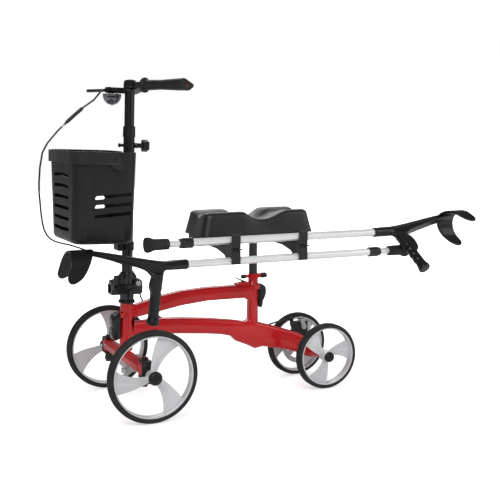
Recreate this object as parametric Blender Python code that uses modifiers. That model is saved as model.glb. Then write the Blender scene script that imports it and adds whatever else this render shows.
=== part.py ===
"""Knee walker: steered front axle, folding tiller column, basket, knee pad and a rack with two
forearm crutches. Metres, +Z up. The walker faces -X and its left side is -Y."""
import math

import bmesh
import bpy
from mathutils import Matrix, Vector

# Where the axles' midpoint lies, seen from the middle of the whole outline on the floor
MID_X = -0.1185
MID_Y = 0.031

# Clearances: between pieces that touch, round pieces that turn, and a gap the eye can see
GAP = 0.0003
RUN = 0.0005
SLOT = 0.0015

# Chassis
WHEELBASE = 0.596
FRONT_TRACK = 0.400
REAR_TRACK = 0.190
RAKE = math.radians(1.8)
TRAIL = 0.0095

# Wheels
FRONT_WHEEL_D = 0.254
REAR_WHEEL_D = 0.200
TYRE_W = 0.028
FRONT_TYRE_H = 0.014
REAR_TYRE_H = 0.012
RIM_W = 0.024
RIM_WALL = 0.0045
HUB_D = 0.032
HUB_L = 0.034
AXLE_D = 0.010
BEARING_D = 0.022
SPOKES = 3
SPOKE_ROOT_W = 0.020
SPOKE_RIM_W = 0.066
SPOKE_SWEEP = math.radians(17)
SPOKE_T = 0.005
FRONT_CAP_D = 0.038
REAR_CAP_D = 0.031
CAP_H = 0.011

# Front axle and steering
KINGPIN_Y = 0.158
KINGPIN_D = 0.012
BEAM_RISE = 0.014
BEAM_AF = 0.036
SLEEVE_D = 0.034
YOKE_T = 0.0065
YOKE_W = 0.030
ARM_DROP = 0.024
ARM_T = 0.007
ARM_L = 0.028
TIE_D = 0.008
STEER_SHAFT_D = 0.016
STEERER_D = 0.025
HEAD_D = 0.037
HEAD_ID = 0.0306
HEAD_TOP = 0.296
FLANGE_D = 0.048
FLANGE_T = 0.009

# Fold joint
FOLD_X = 0.0284
FOLD_H = 0.353
CHEEK_IN = 0.0133
CHEEK_T = 0.0057
EAR_R = 0.012
FOLD_PIN_D = 0.010
CLAMP_X = -0.0423
CLAMP_H = 0.344
CLAMP_BOLT_D = 0.008

# Column and handlebar
COLUMN_D = 0.031
COLUMN_ID = 0.028
COLUMN_BOTTOM = 0.3563
COLUMN_TOP = 0.775
POST_D = 0.0274
POST_ID = 0.023
POST_BOTTOM = 0.580
KNOB_H = 0.740
BAR_H = 0.905
POST_TOP = BAR_H - 0.012
BAR_D = 0.022
BAR_SWEEP = math.radians(21.5)
BAR_REACH = 0.225
GRIP_START = 0.058
GRIP_D = 0.030
BAR_UP = 0.100
BAR_DOWN = 0.050

# Basket
BASKET_REAR = -0.0166
BASKET_L = 0.176
BRACKET_H = 0.458
BASKET_BOTTOM = BRACKET_H + 0.0185
BASKET_TOP = BASKET_BOTTOM + 0.2465
BASKET_TOP_W = 0.280
BASKET_BOTTOM_W = 0.238
BASKET_R = 0.036
BASKET_WALL = 0.003
BASKET_LIFT = 0.040
BAND_H = 0.032
BAND_T = 0.003
BAND_SIDE_GAP = 0.0012
BAND_FRONT_GAP = 0.0036
PIVOT_BACK = 0.067

# Spine frame
FRAME_T = 0.034
FRAME_R = 0.009
SEAT_X = 0.097
SEAT_TUBE_D = 0.030
SEAT_TUBE_TOP = 0.354
SEAT_KNOB_H = 0.346

# Seat
SEAT_POST_D = 0.0254
SEAT_UP = 0.020
SEAT_DOWN = 0.080
POST_LOW = 0.235
PAN_TOP = 0.4797
PAN_H = 0.022
PAN_WALL = 0.003
PAN_L = 0.330
PAN_W = 0.124
PAD_FRONT = -0.098
PAD_L = 0.360
PAD_W = 0.158
PAD_H = 0.070
PAD_DIP = 0.024
PAD_VALLEY = 0.017

# Brake
DISC_D = 0.120
DISC_T = 0.0024
PLATE_Y = 0.060
PLATE_T = 0.006
CABLE_D = 0.005
WIRE_R = 0.0009
CALIPER_ARM_T = 0.0035

# Crutches
LANE_Y = -0.155
UPPER_LANE = 0.4776
LOWER_LANE = 0.4195
UPPER_X = 0.420
LOWER_X = -0.178
UPPER_TURN = math.radians(51.5)
CRUTCH_D = 0.022
CRUTCH_WALL = 0.0013
INNER_D = 0.0184
TUBE_L = 0.584
COLLAR_L = 0.037
SHOW_L = 0.032
TIP_L = 0.066
TIP_D = 0.037
SOCKET_L = 0.055
SOCKET_D = 0.027
HAND_X = 0.087
HAND_L = 0.161
CUFF_X = 0.298
CUFF_RISE = 0.049
CUFF_R = 0.047
BAR_FRONT_X = -0.038
BAR_REAR_X = 0.175
RACK_W = 0.026

# Heights that follow from the sizes above
FRONT_AXLE = FRONT_WHEEL_D / 2
REAR_AXLE = REAR_WHEEL_D / 2
BEAM_H = FRONT_AXLE + BEAM_RISE
BEAM_TOP = BEAM_H + BEAM_AF / 2
BEAM_LOW = BEAM_H - BEAM_AF / 2
HEAD_LOW = BEAM_TOP + GAP
ARM_H = BEAM_LOW - ARM_DROP


# Scene, materials and small helpers
for old in list(bpy.data.objects):
    bpy.data.objects.remove(old, do_unlink=True)

PARTS = bpy.data.collections.new("knee_walker")
CUTTERS = bpy.data.collections.new("cutters")
bpy.context.scene.collection.children.link(PARTS)
bpy.context.scene.collection.children.link(CUTTERS)


def material(name, colour, roughness, metallic=0.0):
    mat = bpy.data.materials.new(name)
    mat.use_nodes = True
    shader = mat.node_tree.nodes["Principled BSDF"]
    shader.inputs["Base Color"].default_value = (*colour, 1.0)
    shader.inputs["Roughness"].default_value = roughness
    shader.inputs["Metallic"].default_value = metallic
    mat.diffuse_color = (*colour, 1.0)
    return mat


RED = material("red_paint", (0.62, 0.012, 0.02), 0.25)
BLACK = material("black_paint", (0.012, 0.012, 0.013), 0.38)
PLASTIC = material("black_plastic", (0.014, 0.014, 0.015), 0.5)
RUBBER = material("grey_tyre_rubber", (0.05, 0.05, 0.05), 0.75)
GRIP = material("grip_rubber", (0.02, 0.02, 0.021), 0.65)
VINYL = material("pad_vinyl", (0.016, 0.016, 0.018), 0.55)
SILVER = material("silver_paint", (0.72, 0.72, 0.74), 0.35, 0.6)
ALLOY = material("anodised_tube", (0.75, 0.76, 0.78), 0.3, 0.9)
STEEL = material("zinc_steel", (0.5, 0.5, 0.52), 0.4, 0.9)


def empty(name, parent=None, at=(0, 0, 0), turn=(0, 0, 0)):
    """A joint's or a sub-frame's axes"""
    ob = bpy.data.objects.new(name, None)
    PARTS.objects.link(ob)
    ob.parent = parent
    ob.location = at
    ob.rotation_euler = turn
    ob.empty_display_size = 0.02
    return ob


def place(name, mesh, on, mat=None):
    """Puts a mesh, drawn in the axes of on, under the empty that carries them; without a
    material it is a cutter or a shape to be joined"""
    ob = bpy.data.objects.new(name, mesh)
    parent, offset = on[0], Vector(on[1])
    ob.parent = parent
    ob.location = offset
    if mat:
        PARTS.objects.link(ob)
        mesh.materials.append(mat)
    else:
        CUTTERS.objects.link(ob)
        ob.hide_render = True
        ob.display_type = "WIRE"
    return ob


def face_out(bm):
    """Turns the faces outward, also on thin curved slabs"""
    bmesh.ops.recalc_face_normals(bm, faces=bm.faces)
    closed = all(len(e.link_faces) == 2 for e in bm.edges)
    if closed and bm.calc_volume(signed=True) < 0:
        bmesh.ops.reverse_faces(bm, faces=bm.faces)


def mesh_of(bm, name):
    mesh = bpy.data.meshes.new(name)
    face_out(bm)
    bm.to_mesh(mesh)
    bm.free()
    return mesh


def smooth(mesh, degrees=35):
    mesh.shade_smooth()
    mesh.set_sharp_from_angle(angle=math.radians(degrees))
    return mesh


def frame_to(z_axis, x_axis=(0, 0, 1)):
    """Rotation whose local Z lies along z_axis and whose local X is as near x_axis as can be"""
    z = Vector(z_axis).normalized()
    x = Vector(x_axis)
    x = x - z * x.dot(z)
    if x.length < 1e-6:
        x = Vector((0, 1, 0)) if abs(z.y) < 0.5 else Vector((1, 0, 0))
    x.normalize()
    return Matrix((x, z.cross(x), z)).transposed().to_4x4()


def block(name, low, high, on, mat=None, turn=None):
    """Box between two corners, turned about its own middle"""
    low, high = Vector(low), Vector(high)
    bm = bmesh.new()
    spin = turn.to_4x4() if turn else Matrix()
    size = Matrix.Diagonal((*(high - low), 1))
    bmesh.ops.create_cube(bm, size=1, matrix=Matrix.Translation((low + high) / 2) @ spin @ size)
    return place(name, mesh_of(bm, name), on, mat)


def rod(name, start, end, r, on, mat=None, sides=20, r_end=None, spin=0.0):
    """Cylinder or cone between two points"""
    start, end = Vector(start), Vector(end)
    way = end - start
    turn = frame_to(way) @ Matrix.Rotation(spin, 4, "Z")
    bm = bmesh.new()
    bmesh.ops.create_cone(bm, cap_ends=True, segments=sides, radius1=r,
                          radius2=r if r_end is None else r_end, depth=way.length,
                          matrix=Matrix.Translation((start + end) / 2) @ turn)
    return place(name, smooth(mesh_of(bm, name)), on, mat)


def evaluated_mesh(ob, name):
    graph = bpy.context.evaluated_depsgraph_get()
    mesh = bpy.data.meshes.new_from_object(ob.evaluated_get(graph))
    mesh.name = name
    return mesh


def lathe(name, profile, on, mat=None, sides=20, at=(0, 0, 0), way=(0, 0, 1), ring=False):
    """Turned shape. The profile's (radius, height) points run top to bottom down the outer
    side; a ring's profile closes on itself"""
    mesh = bpy.data.meshes.new(name)
    points = [(r, 0, z) for r, z in profile]
    edges = [(i, i + 1) for i in range(len(points) - 1)]
    if ring:
        edges.append((len(points) - 1, 0))
    mesh.from_pydata(points, edges, [])
    ob = place(name, mesh, on, mat)
    turn = frame_to(way, (1, 0, 0))
    ob.rotation_euler = turn.to_euler()
    ob.location = Vector(on[1]) + Vector(at)
    screw = ob.modifiers.new("turn", "SCREW")
    screw.angle = math.tau
    screw.steps = sides
    screw.render_steps = sides
    screw.use_merge_vertices = True
    screw.merge_threshold = 0.0001
    screw.use_smooth_shade = True
    return ob


def spread(points, steps, closed=False):
    """Smooth curve through the points, with the given number of steps between each pair"""
    count = len(points)
    spans = count if closed else count - 1
    out = []
    for i in range(spans):
        p = [Vector(points[(i + k) % count] if closed else
                    points[min(max(i + k, 0), count - 1)]) for k in (-1, 0, 1, 2)]
        for s in range(steps):
            t = s / steps
            out.append(0.5 * (2 * p[1] + (p[2] - p[0]) * t
                              + (2 * p[0] - 5 * p[1] + 4 * p[2] - p[3]) * t * t
                              + (3 * p[1] - p[0] - 3 * p[2] + p[3]) * t ** 3))
    if not closed:
        out.append(Vector(points[-1]))
    return out


def curve_mesh(name, curve):
    """Turns a curve into a mesh with its caps welded on"""
    ob = bpy.data.objects.new(name + "_curve", curve)
    CUTTERS.objects.link(ob)
    mesh = evaluated_mesh(ob, name)
    bpy.data.objects.remove(ob, do_unlink=True)
    bm = bmesh.new()
    bm.from_mesh(mesh)
    bmesh.ops.remove_doubles(bm, verts=bm.verts, dist=0.00001)
    face_out(bm)
    bm.to_mesh(mesh)
    bm.free()
    return mesh


def plate(name, loops, thickness, on, mat=None, plane="XZ", at=0.0):
    """Flat outline, with any holes, given thickness both ways from the plane at the height at.
    Loops are lists of (a, b) points in that plane"""
    curve = bpy.data.curves.new(name, "CURVE")
    curve.dimensions = "2D"
    curve.fill_mode = "BOTH"
    curve.extrude = thickness / 2
    for loop in loops:
        line = curve.splines.new("POLY")
        line.points.add(len(loop) - 1)
        for point, (a, b) in zip(line.points, loop):
            point.co = (a, b, 0, 1)
        line.use_cyclic_u = True
    mesh = curve_mesh(name, curve)
    bm = bmesh.new()
    bm.from_mesh(mesh)
    if len(loops) == 1:
        bmesh.ops.dissolve_limit(bm, angle_limit=0.01, verts=bm.verts, edges=bm.edges)
    turn = {"XY": Matrix(), "XZ": Matrix.Rotation(math.pi / 2, 4, "X"),
            "YZ": Matrix(((0, 0, 1, 0), (1, 0, 0, 0), (0, 1, 0, 0), (0, 0, 0, 1)))}[plane]
    shift = {"XY": (0, 0, at), "XZ": (0, at, 0), "YZ": (at, 0, 0)}[plane]
    bm.transform(Matrix.Translation(shift) @ turn)
    return place(name, smooth(mesh_of(bm, name), 25), on, mat)


def pipe(name, points, r, on, mat=None, rings=4, caps=True):
    """Round bar or cable along a line of points"""
    curve = bpy.data.curves.new(name, "CURVE")
    curve.dimensions = "3D"
    curve.bevel_depth = r
    curve.bevel_resolution = rings
    curve.use_fill_caps = caps
    line = curve.splines.new("POLY")
    line.points.add(len(points) - 1)
    for point, co in zip(line.points, points):
        point.co = (*co, 1)
    return place(name, smooth(curve_mesh(name, curve), 40), on, mat)


def rounded(ob, width, steps=2, degrees=40):
    edge = ob.modifiers.new("edges", "BEVEL")
    edge.width = width
    edge.segments = steps
    edge.limit_method = "ANGLE"
    edge.angle_limit = math.radians(degrees)
    edge.use_clamp_overlap = True
    return ob


def boolean(ob, other, operation):
    step = ob.modifiers.new(other.name, "BOOLEAN")
    step.operation = operation
    step.solver = "EXACT"
    step.object = other
    return ob


def join(ob, *others):
    for other in others:
        boolean(ob, other, "UNION")
    return ob


def cut(ob, *others):
    for other in others:
        boolean(ob, other, "DIFFERENCE")
    return ob


def circle(x, y, r, count=12, start=0.0, end=math.tau):
    """Points round a circle, or round a part of it with both its ends"""
    whole = abs(end - start - math.tau) < 1e-9
    last = count if whole else count - 1
    return [(x + r * math.cos(start + (end - start) * i / last),
             y + r * math.sin(start + (end - start) * i / last)) for i in range(count)]


def hull2(x0, y0, r0, x1, y1, r1, count=7):
    """Outline of a link: two round ends joined by straight flanks"""
    way = math.atan2(y1 - y0, x1 - x0)
    lean = math.acos((r0 - r1) / math.hypot(x1 - x0, y1 - y0))
    return (circle(x1, y1, r1, count, way - lean, way + lean)
            + circle(x0, y0, r0, count, way + lean, way - lean + math.tau))


# Axes of the sub-frames and the joints
walker = empty("walker", at=(MID_X, MID_Y, 0))
BODY = (walker, (0, 0, 0))

head = empty("steering_head", walker,
             (-WHEELBASE / 2 - TRAIL * math.cos(RAKE), 0, FRONT_AXLE + TRAIL * math.sin(RAKE)),
             (0, RAKE, 0))
HEAD = (head, (0, 0, -FRONT_AXLE))

steer = empty("steering_axis", head)
STEER = (steer, (0, 0, -FRONT_AXLE))

fold = empty("fold_axis", steer, (FOLD_X, 0, FOLD_H - FRONT_AXLE))
COLUMN = (fold, (-FOLD_X, 0, -FOLD_H))

bar_slide = empty("handlebar_height_axis", fold, (-FOLD_X, 0, BAR_H - FOLD_H))
BAR = (bar_slide, (0, 0, -BAR_H))

basket_slide = empty("basket_lift_axis", fold, (BASKET_REAR - FOLD_X, 0, BRACKET_H - FOLD_H))
BASKET = (basket_slide, (-BASKET_REAR, 0, -BRACKET_H))

seat = empty("seat_height_axis", walker, (SEAT_X, 0, SEAT_TUBE_TOP))
SEAT = (seat, (-SEAT_X, 0, -SEAT_TUBE_TOP))


# Wheels
def spoke(name, r0, r1, centre, on):
    """One swirl blade: a strip that widens and turns outward, creased along its middle"""
    rows, columns = 4, 2
    bm = bmesh.new()
    bmesh.ops.create_grid(bm, x_segments=columns, y_segments=rows, size=0.5)
    for vert in bm.verts:
        across, along = vert.co.x * 2, vert.co.y + 0.5
        r = r0 + (r1 - r0) * along
        half = (SPOKE_ROOT_W + (SPOKE_RIM_W - SPOKE_ROOT_W) * along ** 1.4) / 2
        angle = math.pi / 2 - centre - SPOKE_SWEEP * along - across * half / max(r, r0 * 1.2)
        crease = SPOKE_T * 0.9 * (1 - abs(across))
        vert.co = (r * math.cos(angle), r * math.sin(angle), crease)
    blade = place(name, mesh_of(bm, name), on)
    skin = blade.modifiers.new("thickness", "SOLIDIFY")
    skin.thickness = SPOKE_T
    skin.offset = -1
    return blade


def wheel(tag, axle, diameter, tyre_h, cap_d, turned, bearing_sides=16):
    """Tyre, spoked rim, and the pressed-in bearings with the cap; local +Z points outward"""
    on = (axle, (0, 0, 0))
    r = diameter / 2
    seat_r = r - tyre_h
    half = TYRE_W / 2
    bead = RIM_W / 2 + 0.0005
    lathe(tag + "_tyre", [(seat_r + tyre_h * 0.35, half), (r - tyre_h * 0.25, half * 0.82),
                          (r, half * 0.34), (r, -half * 0.34),
                          (r - tyre_h * 0.25, -half * 0.82), (seat_r + tyre_h * 0.35, -half),
                          (seat_r, -bead), (seat_r, bead)], on, RUBBER, 24, ring=True)
    rim_r = seat_r - GAP
    flange = RIM_W / 2
    rim = lathe(tag + "_rim", [(rim_r, flange), (rim_r, -flange), (rim_r - 0.004, -flange),
                               (rim_r - RIM_WALL, -flange + 0.004),
                               (rim_r - RIM_WALL, flange - 0.004), (rim_r - 0.004, flange)],
                on, SILVER, 24, ring=True)
    hub = rod(tag + "_hub", (0, 0, -HUB_L / 2), (0, 0, HUB_L / 2), HUB_D / 2, on, sides=16)
    blades = [spoke(f"{tag}_spoke_{i}", HUB_D / 2 - 0.003, rim_r - RIM_WALL + 0.0015,
                    turned + math.tau * i / SPOKES, on) for i in range(SPOKES)]
    join(rim, hub, *blades)
    cut(rim, rod(tag + "_bore", (0, 0, -HUB_L), (0, 0, HUB_L), BEARING_D / 2 + GAP, on,
                 sides=bearing_sides))
    top = HUB_L / 2
    race = BEARING_D / 2
    nut_room = race - 0.0015
    # Bearing sleeve and cap are one turned piece: the cap is hollow over the axle's nut
    lathe(tag + "_hub_fittings",
          [(0, top + GAP + CAP_H), (cap_d * 0.36, top + GAP + CAP_H),
           (cap_d / 2, top + GAP + CAP_H * 0.55), (cap_d / 2, top + GAP), (race, top + GAP),
           (race, -top), (AXLE_D / 2 + RUN, -top), (AXLE_D / 2 + RUN, top - 0.001),
           (nut_room, top - 0.001), (nut_room, top + CAP_H * 0.72), (0, top + CAP_H * 0.72)],
          on, PLASTIC, bearing_sides)
    return rim


# Front: the kingpins are parallel to the steering axis and the spindles trail them
for side, label in ((-1, "left"), (1, "right")):
    kingpin = empty(label + "_kingpin_axis", head, (0, side * KINGPIN_Y, 0))
    on = (kingpin, (0, 0, -FRONT_AXLE))
    reach = FRONT_TRACK / 2 - KINGPIN_Y
    hub_in = reach - HUB_L / 2
    web = SLEEVE_D / 2 + GAP * 2
    top = BEAM_TOP + GAP
    low = BEAM_LOW - GAP
    yoke = [(-YOKE_W / 2 + 0.002, low), (web, low), (web, top), (-YOKE_W / 2 + 0.002, top),
            (-YOKE_W / 2 + 0.002, top + YOKE_T), (web + 0.004, top + YOKE_T),
            (hub_in - RUN, top + YOKE_T - 0.004), (hub_in - RUN, low - YOKE_T + 0.004),
            (web + 0.004, low - YOKE_T), (-YOKE_W / 2 + 0.002, low - YOKE_T)]
    knuckle = plate(label + "_knuckle", [[(side * a, b) for a, b in yoke]], YOKE_W, on, BLACK,
                    "YZ")
    rounded(knuckle, 0.0025, 1, 50)
    boss = rod(label + "_arm_boss", (0, 0, ARM_H), (0, 0, low - YOKE_T / 2), 0.011, on, sides=16)
    arm = plate(label + "_arm", [hull2(0, 0, 0.0125, ARM_L, 0, 0.008)], ARM_T, on, None, "XY",
                ARM_H + ARM_T / 2)
    y_in = side * (hub_in - 0.003)
    spindle = rod(label + "_spindle", (TRAIL, y_in, FRONT_AXLE),
                  (TRAIL, side * (reach + HUB_L / 2 + 0.0065), FRONT_AXLE), AXLE_D / 2, on,
                  sides=12)
    nut = rod(label + "_spindle_nut", (TRAIL, side * (reach + HUB_L / 2 + GAP * 2), FRONT_AXLE),
              (TRAIL, side * (reach + HUB_L / 2 + 0.0055), FRONT_AXLE), 0.0078, on, sides=6)
    shoulder = rod(label + "_shoulder", (TRAIL, y_in + side * 0.0007, FRONT_AXLE),
                   (TRAIL, side * (hub_in - GAP), FRONT_AXLE), 0.008, on, sides=12)
    pin_top = top + YOKE_T
    kingpin_bolt = lathe(label + "_kingpin",
                         [(0, pin_top + 0.007), (0.008, pin_top + 0.007), (0.010, pin_top + 0.005),
                          (0.010, pin_top - 0.001), (KINGPIN_D / 2, pin_top - 0.001),
                          (KINGPIN_D / 2, ARM_H + 0.001), (0.0097, ARM_H + 0.001),
                          (0.0097, ARM_H - 0.0065), (0, ARM_H - 0.0065)], on, sides=16)
    join(knuckle, boss, arm, shoulder, spindle, nut, kingpin_bolt)
    cut(knuckle,
        rod(label + "_stud_hole", (ARM_L, 0, ARM_H - 0.01), (ARM_L, 0, ARM_H + 0.02),
            TIE_D / 2 + RUN, on, sides=16))
    axle = empty(f"front_{label}_wheel_axis", kingpin, (TRAIL, side * reach, 0),
                 (-side * math.pi / 2, 0, 0))
    wheel(f"front_{label}", axle, FRONT_WHEEL_D, FRONT_TYRE_H, FRONT_CAP_D,
          math.radians(8 if side < 0 else 40))

# The beam is an octagonal bar with a round sleeve on each end
beam_end = KINGPIN_Y - 0.0073
beam = rod("front_axle_beam", (0, -beam_end, BEAM_H), (0, beam_end, BEAM_H),
           BEAM_AF / 2 / math.cos(math.pi / 8), HEAD, RED, 8, spin=math.pi / 8)
for side in (-1, 1):
    y = side * KINGPIN_Y
    sleeve = rod(f"beam_sleeve_{side}", (0, y, BEAM_LOW + GAP), (0, y, BEAM_TOP - GAP),
                 SLEEVE_D / 2, HEAD, sides=16)
    join(beam, rounded(sleeve, 0.0035, 1, 60))
    cut(beam, rod(f"beam_bore_{side}", (0, y, BEAM_LOW - 0.01), (0, y, BEAM_TOP + 0.01),
                  KINGPIN_D / 2 + RUN, HEAD))
cut(beam, rod("beam_shaft_bore", (0, 0, BEAM_LOW - 0.01), (0, 0, BEAM_TOP + 0.01),
              STEER_SHAFT_D / 2 + RUN, HEAD))

# Tie rod: a bar behind the beam with three studs, each turning in its arm
rod_h = ARM_H + ARM_T + GAP
tie_on = (steer, (ARM_L, 0, -FRONT_AXLE))
bar_end = KINGPIN_Y - 0.0031
tie = rod("tie_rod", (0, -bar_end, rod_h + TIE_D / 2), (0, bar_end, rod_h + TIE_D / 2),
          TIE_D / 2 - 0.0004, tie_on, STEEL, 12, spin=0.17)
for i, y in enumerate((-KINGPIN_Y, 0, KINGPIN_Y)):
    join(tie, lathe(f"tie_stud_{i}", [(0, rod_h + TIE_D), (0.008, rod_h + TIE_D),
                                      (0.008, rod_h), (TIE_D / 2, rod_h),
                                      (TIE_D / 2, ARM_H - GAP), (0.0065, ARM_H - GAP),
                                      (0.0065, ARM_H - 0.0055), (0, ARM_H - 0.0055)],
                    tie_on, at=(0, y, 0), sides=12))

# Steerer: shaft through the head and the beam, with the pitman arm at its foot
steerer_top = HEAD_TOP + FLANGE_T + 0.015
steerer = lathe("steerer", [(0, steerer_top), (STEERER_D / 2, steerer_top),
                            (STEERER_D / 2, BEAM_TOP + 0.002), (STEER_SHAFT_D / 2, BEAM_TOP + 0.002),
                            (STEER_SHAFT_D / 2, ARM_H), (0.0115, ARM_H), (0.0115, ARM_H - 0.0065),
                            (0, ARM_H - 0.0065)], STEER, STEEL, 20)
pitman = plate("pitman_arm", [hull2(0, 0, 0.0125, ARM_L, 0, 0.008)], ARM_T, STEER, None, "XY",
               ARM_H + ARM_T / 2)
join(steerer, pitman)
cut(steerer, rod("pitman_hole", (ARM_L, 0, ARM_H - 0.01), (ARM_L, 0, ARM_H + 0.02),
                 TIE_D / 2 + RUN, STEER, sides=16))

# Head bush: a long liner whose wide flange shows under the fold joint
bush_in = STEERER_D / 2 + GAP
bush_out = HEAD_ID / 2 - GAP
flange_low = HEAD_TOP + GAP
lathe("headset_bush",
      [(FLANGE_D / 2 - 0.003, flange_low + FLANGE_T - GAP), (FLANGE_D / 2, flange_low + 0.005),
       (FLANGE_D / 2 - 0.001, flange_low), (bush_out, flange_low), (bush_out, HEAD_LOW + 0.003),
       (bush_in, HEAD_LOW + 0.003), (bush_in, flange_low + FLANGE_T - GAP)],
      HEAD, PLASTIC, 16, ring=True)


# Levers with a cam: the hinge lies along local X and the clamp pulls along +Y
def cam_lever(name, on, at, length, mat, lean=0.0, width=0.014, cam_r=0.0065):
    """Lever lying along +Z, forked round the eye of its bolt"""
    x, y, z = at
    disc = rod(name, (x - width / 2, y, z), (x + width / 2, y, z), cam_r, on, mat, 20)
    flat = math.tan(lean)
    shape = [(y - 0.0055, z + 0.001), (y - 0.0058, z + length * 0.5),
             (y - 0.0075 - flat * length, z + length), (y - 0.0035 - flat * length, z + length),
             (y - 0.0010, z + length * 0.5), (y + 0.003, z + 0.0045)]
    handle = plate(name + "_handle", [shape], width, on, None, "YZ", x)
    rounded(handle, 0.0012, 1)
    join(disc, handle)
    slot = block(name + "_fork", (x - 0.0032, y - 0.03, z - 0.03),
                 (x + 0.0032, y + 0.03, z + cam_r + 0.0015), on)
    pin = rod(name + "_pin_hole", (x - 0.03, y, z), (x + 0.03, y, z), 0.0022 + RUN, on, sides=12)
    cut(disc, slot, pin)
    return disc


def cam_bolt(name, on, at, far_y, bolt_r, mat=None):
    """Bolt with an eye and a cross pin on the cam's side and a round nut on the far side"""
    x, y, z = at
    eye = rod(name, (x - 0.0027, y, z), (x + 0.0027, y, z), 0.0048, on, mat, 12)
    join(eye, rod(name + "_cross", (x - 0.0070, y, z), (x + 0.0070, y, z), 0.0022, on, sides=8),
         rod(name + "_neck", (x, y, z), (x, y + 0.0080, z), 0.0026, on, sides=8),
         rod(name + "_shank", (x, y + 0.0075, z), (x, far_y + 0.001, z), bolt_r, on, sides=12),
         rod(name + "_nut", (x, far_y, z), (x, far_y + 0.006, z), bolt_r + 0.0035, on, sides=12))
    return eye


# Fold joint at the foot of the column
cheek_out = CHEEK_IN + CHEEK_T
collar_low = HEAD_TOP + FLANGE_T + GAP
fold_yoke = lathe("fold_yoke", [(0, 0.332), (0.0200, 0.332), (0.0200, collar_low + 0.001),
                                (0.0190, collar_low), (STEERER_D / 2 + GAP, collar_low),
                                (STEERER_D / 2 + GAP, steerer_top + GAP), (0, steerer_top + GAP)],
                  STEER, BLACK, 20)
cheek_front = CLAMP_X - 0.008
floor_block = block("yoke_floor", (cheek_front, -cheek_out, 0.322), (FOLD_X + 0.008, cheek_out, 0.3275),
                    STEER)
join(fold_yoke, floor_block)
cheek = ([(cheek_front, 0.3245), (FOLD_X + EAR_R, 0.3245)]
         + circle(FOLD_X, FOLD_H, EAR_R, 9, 0, math.pi * 1.08)
         + [(FOLD_X - EAR_R - 0.003, FOLD_H - 0.0045), (CLAMP_X + 0.006, FOLD_H - 0.0045),
            (cheek_front, CLAMP_H + 0.005)])
for side in (-1, 1):
    join(fold_yoke, plate(f"yoke_cheek_{side}", [cheek], CHEEK_T, STEER, None, "XZ",
                          side * (CHEEK_IN + CHEEK_T / 2)))
cut(fold_yoke, block("yoke_gap", (cheek_front - 0.01, -CHEEK_IN, 0.3275),
                     (FOLD_X + 0.03, CHEEK_IN, 0.38), STEER),
    rod("yoke_pin_hole", (FOLD_X, -0.04, FOLD_H), (FOLD_X, 0.04, FOLD_H),
        FOLD_PIN_D / 2 + GAP, STEER, sides=16))

lathe("fold_pin",
      [(0, cheek_out + 0.0035), (0.006, cheek_out + 0.0035), (0.008, cheek_out + 0.002),
       (0.008, cheek_out + GAP), (FOLD_PIN_D / 2, cheek_out + GAP), (FOLD_PIN_D / 2, -cheek_out - GAP),
       (0.008, -cheek_out - GAP), (0.008, -cheek_out - 0.002), (0.006, -cheek_out - 0.0035),
       (0, -cheek_out - 0.0035)],
      STEER, STEEL, 12, (FOLD_X, 0, FOLD_H), (0, 1, 0))
clamp_y = -cheek_out - GAP - 0.0065
join(fold_yoke, cam_bolt("fold_clamp_bolt", STEER, (CLAMP_X, clamp_y, CLAMP_H), cheek_out - 0.001,
                         CLAMP_BOLT_D / 2))
fold_lever_axis = empty("fold_clamp_axis", steer, (CLAMP_X, clamp_y, CLAMP_H - FRONT_AXLE))
cam_lever("fold_clamp_lever", (fold_lever_axis, (0, 0, 0)), (0, 0, 0), 0.036, BLACK, 0.06)

# The lug: a tongue between the cheeks, with the socket of the column on top
lug_low = 0.3275 + SLOT
lug_shape = ([(CLAMP_X - 0.008, CLAMP_H + CLAMP_BOLT_D / 2 + GAP),
              (CLAMP_X + 0.0083, CLAMP_H + CLAMP_BOLT_D / 2 + GAP), (CLAMP_X + 0.0095, lug_low + 0.004),
              (CLAMP_X + 0.014, lug_low), (FOLD_X - 0.006, lug_low + 0.001)]
             + circle(FOLD_X, FOLD_H, EAR_R + 0.001, 8, -math.pi * 0.42, math.pi * 0.62)
             + [(0.0150, 0.382), (-0.0150, 0.382), (-0.0300, 0.366), (CLAMP_X - 0.008, 0.360)])
lug = plate("fold_lug", [lug_shape], 2 * (CHEEK_IN - GAP), COLUMN, BLACK)
rounded(lug, 0.0015, 1, 60)
join(lug, lathe("lug_socket", [(0, 0.384), (0.0185, 0.384), (0.0200, 0.381), (0.0200, 0.352),
                               (0, 0.352)], COLUMN, sides=20))
cut(lug, rod("lug_bore", (0, 0, COLUMN_BOTTOM - GAP), (0, 0, 0.40), COLUMN_D / 2 + GAP, COLUMN),
    rod("lug_pin_hole", (FOLD_X, -0.04, FOLD_H), (FOLD_X, 0.04, FOLD_H), FOLD_PIN_D / 2 + RUN,
        COLUMN, sides=16))

# Column, collar, height knob and basket bracket
column = lathe("column_tube", [(COLUMN_D / 2, COLUMN_TOP), (COLUMN_D / 2, COLUMN_BOTTOM),
                               (COLUMN_ID / 2, COLUMN_BOTTOM), (COLUMN_ID / 2, COLUMN_TOP)],
               COLUMN, BLACK, 20, ring=True)
boss_end = 0.024
boss = rod("knob_boss", (COLUMN_ID / 2 + 0.0006, 0, KNOB_H), (boss_end, 0, KNOB_H), 0.0075, COLUMN,
           sides=16)
stop_tip = POST_ID / 2 + 0.0004
stop_screw = lathe("column_stop_screw",
                   [(0, 0.0307), (0.004, 0.0307), (0.006, 0.029), (0.006, 0.0250),
                    (0.0045, 0.0240), (0.0045, COLUMN_D / 2 - 0.0008),
                    (0.0027, COLUMN_D / 2 - 0.0008), (0.0027, stop_tip), (0, stop_tip)],
                   COLUMN, sides=8, at=(0, 0, KNOB_H), way=(-1, 0, 0))
join(column, boss, stop_screw)
cut(column, rod("knob_bore", (0.005, 0, KNOB_H), (0.04, 0, KNOB_H), 0.004 + RUN, COLUMN, sides=16))


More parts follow.
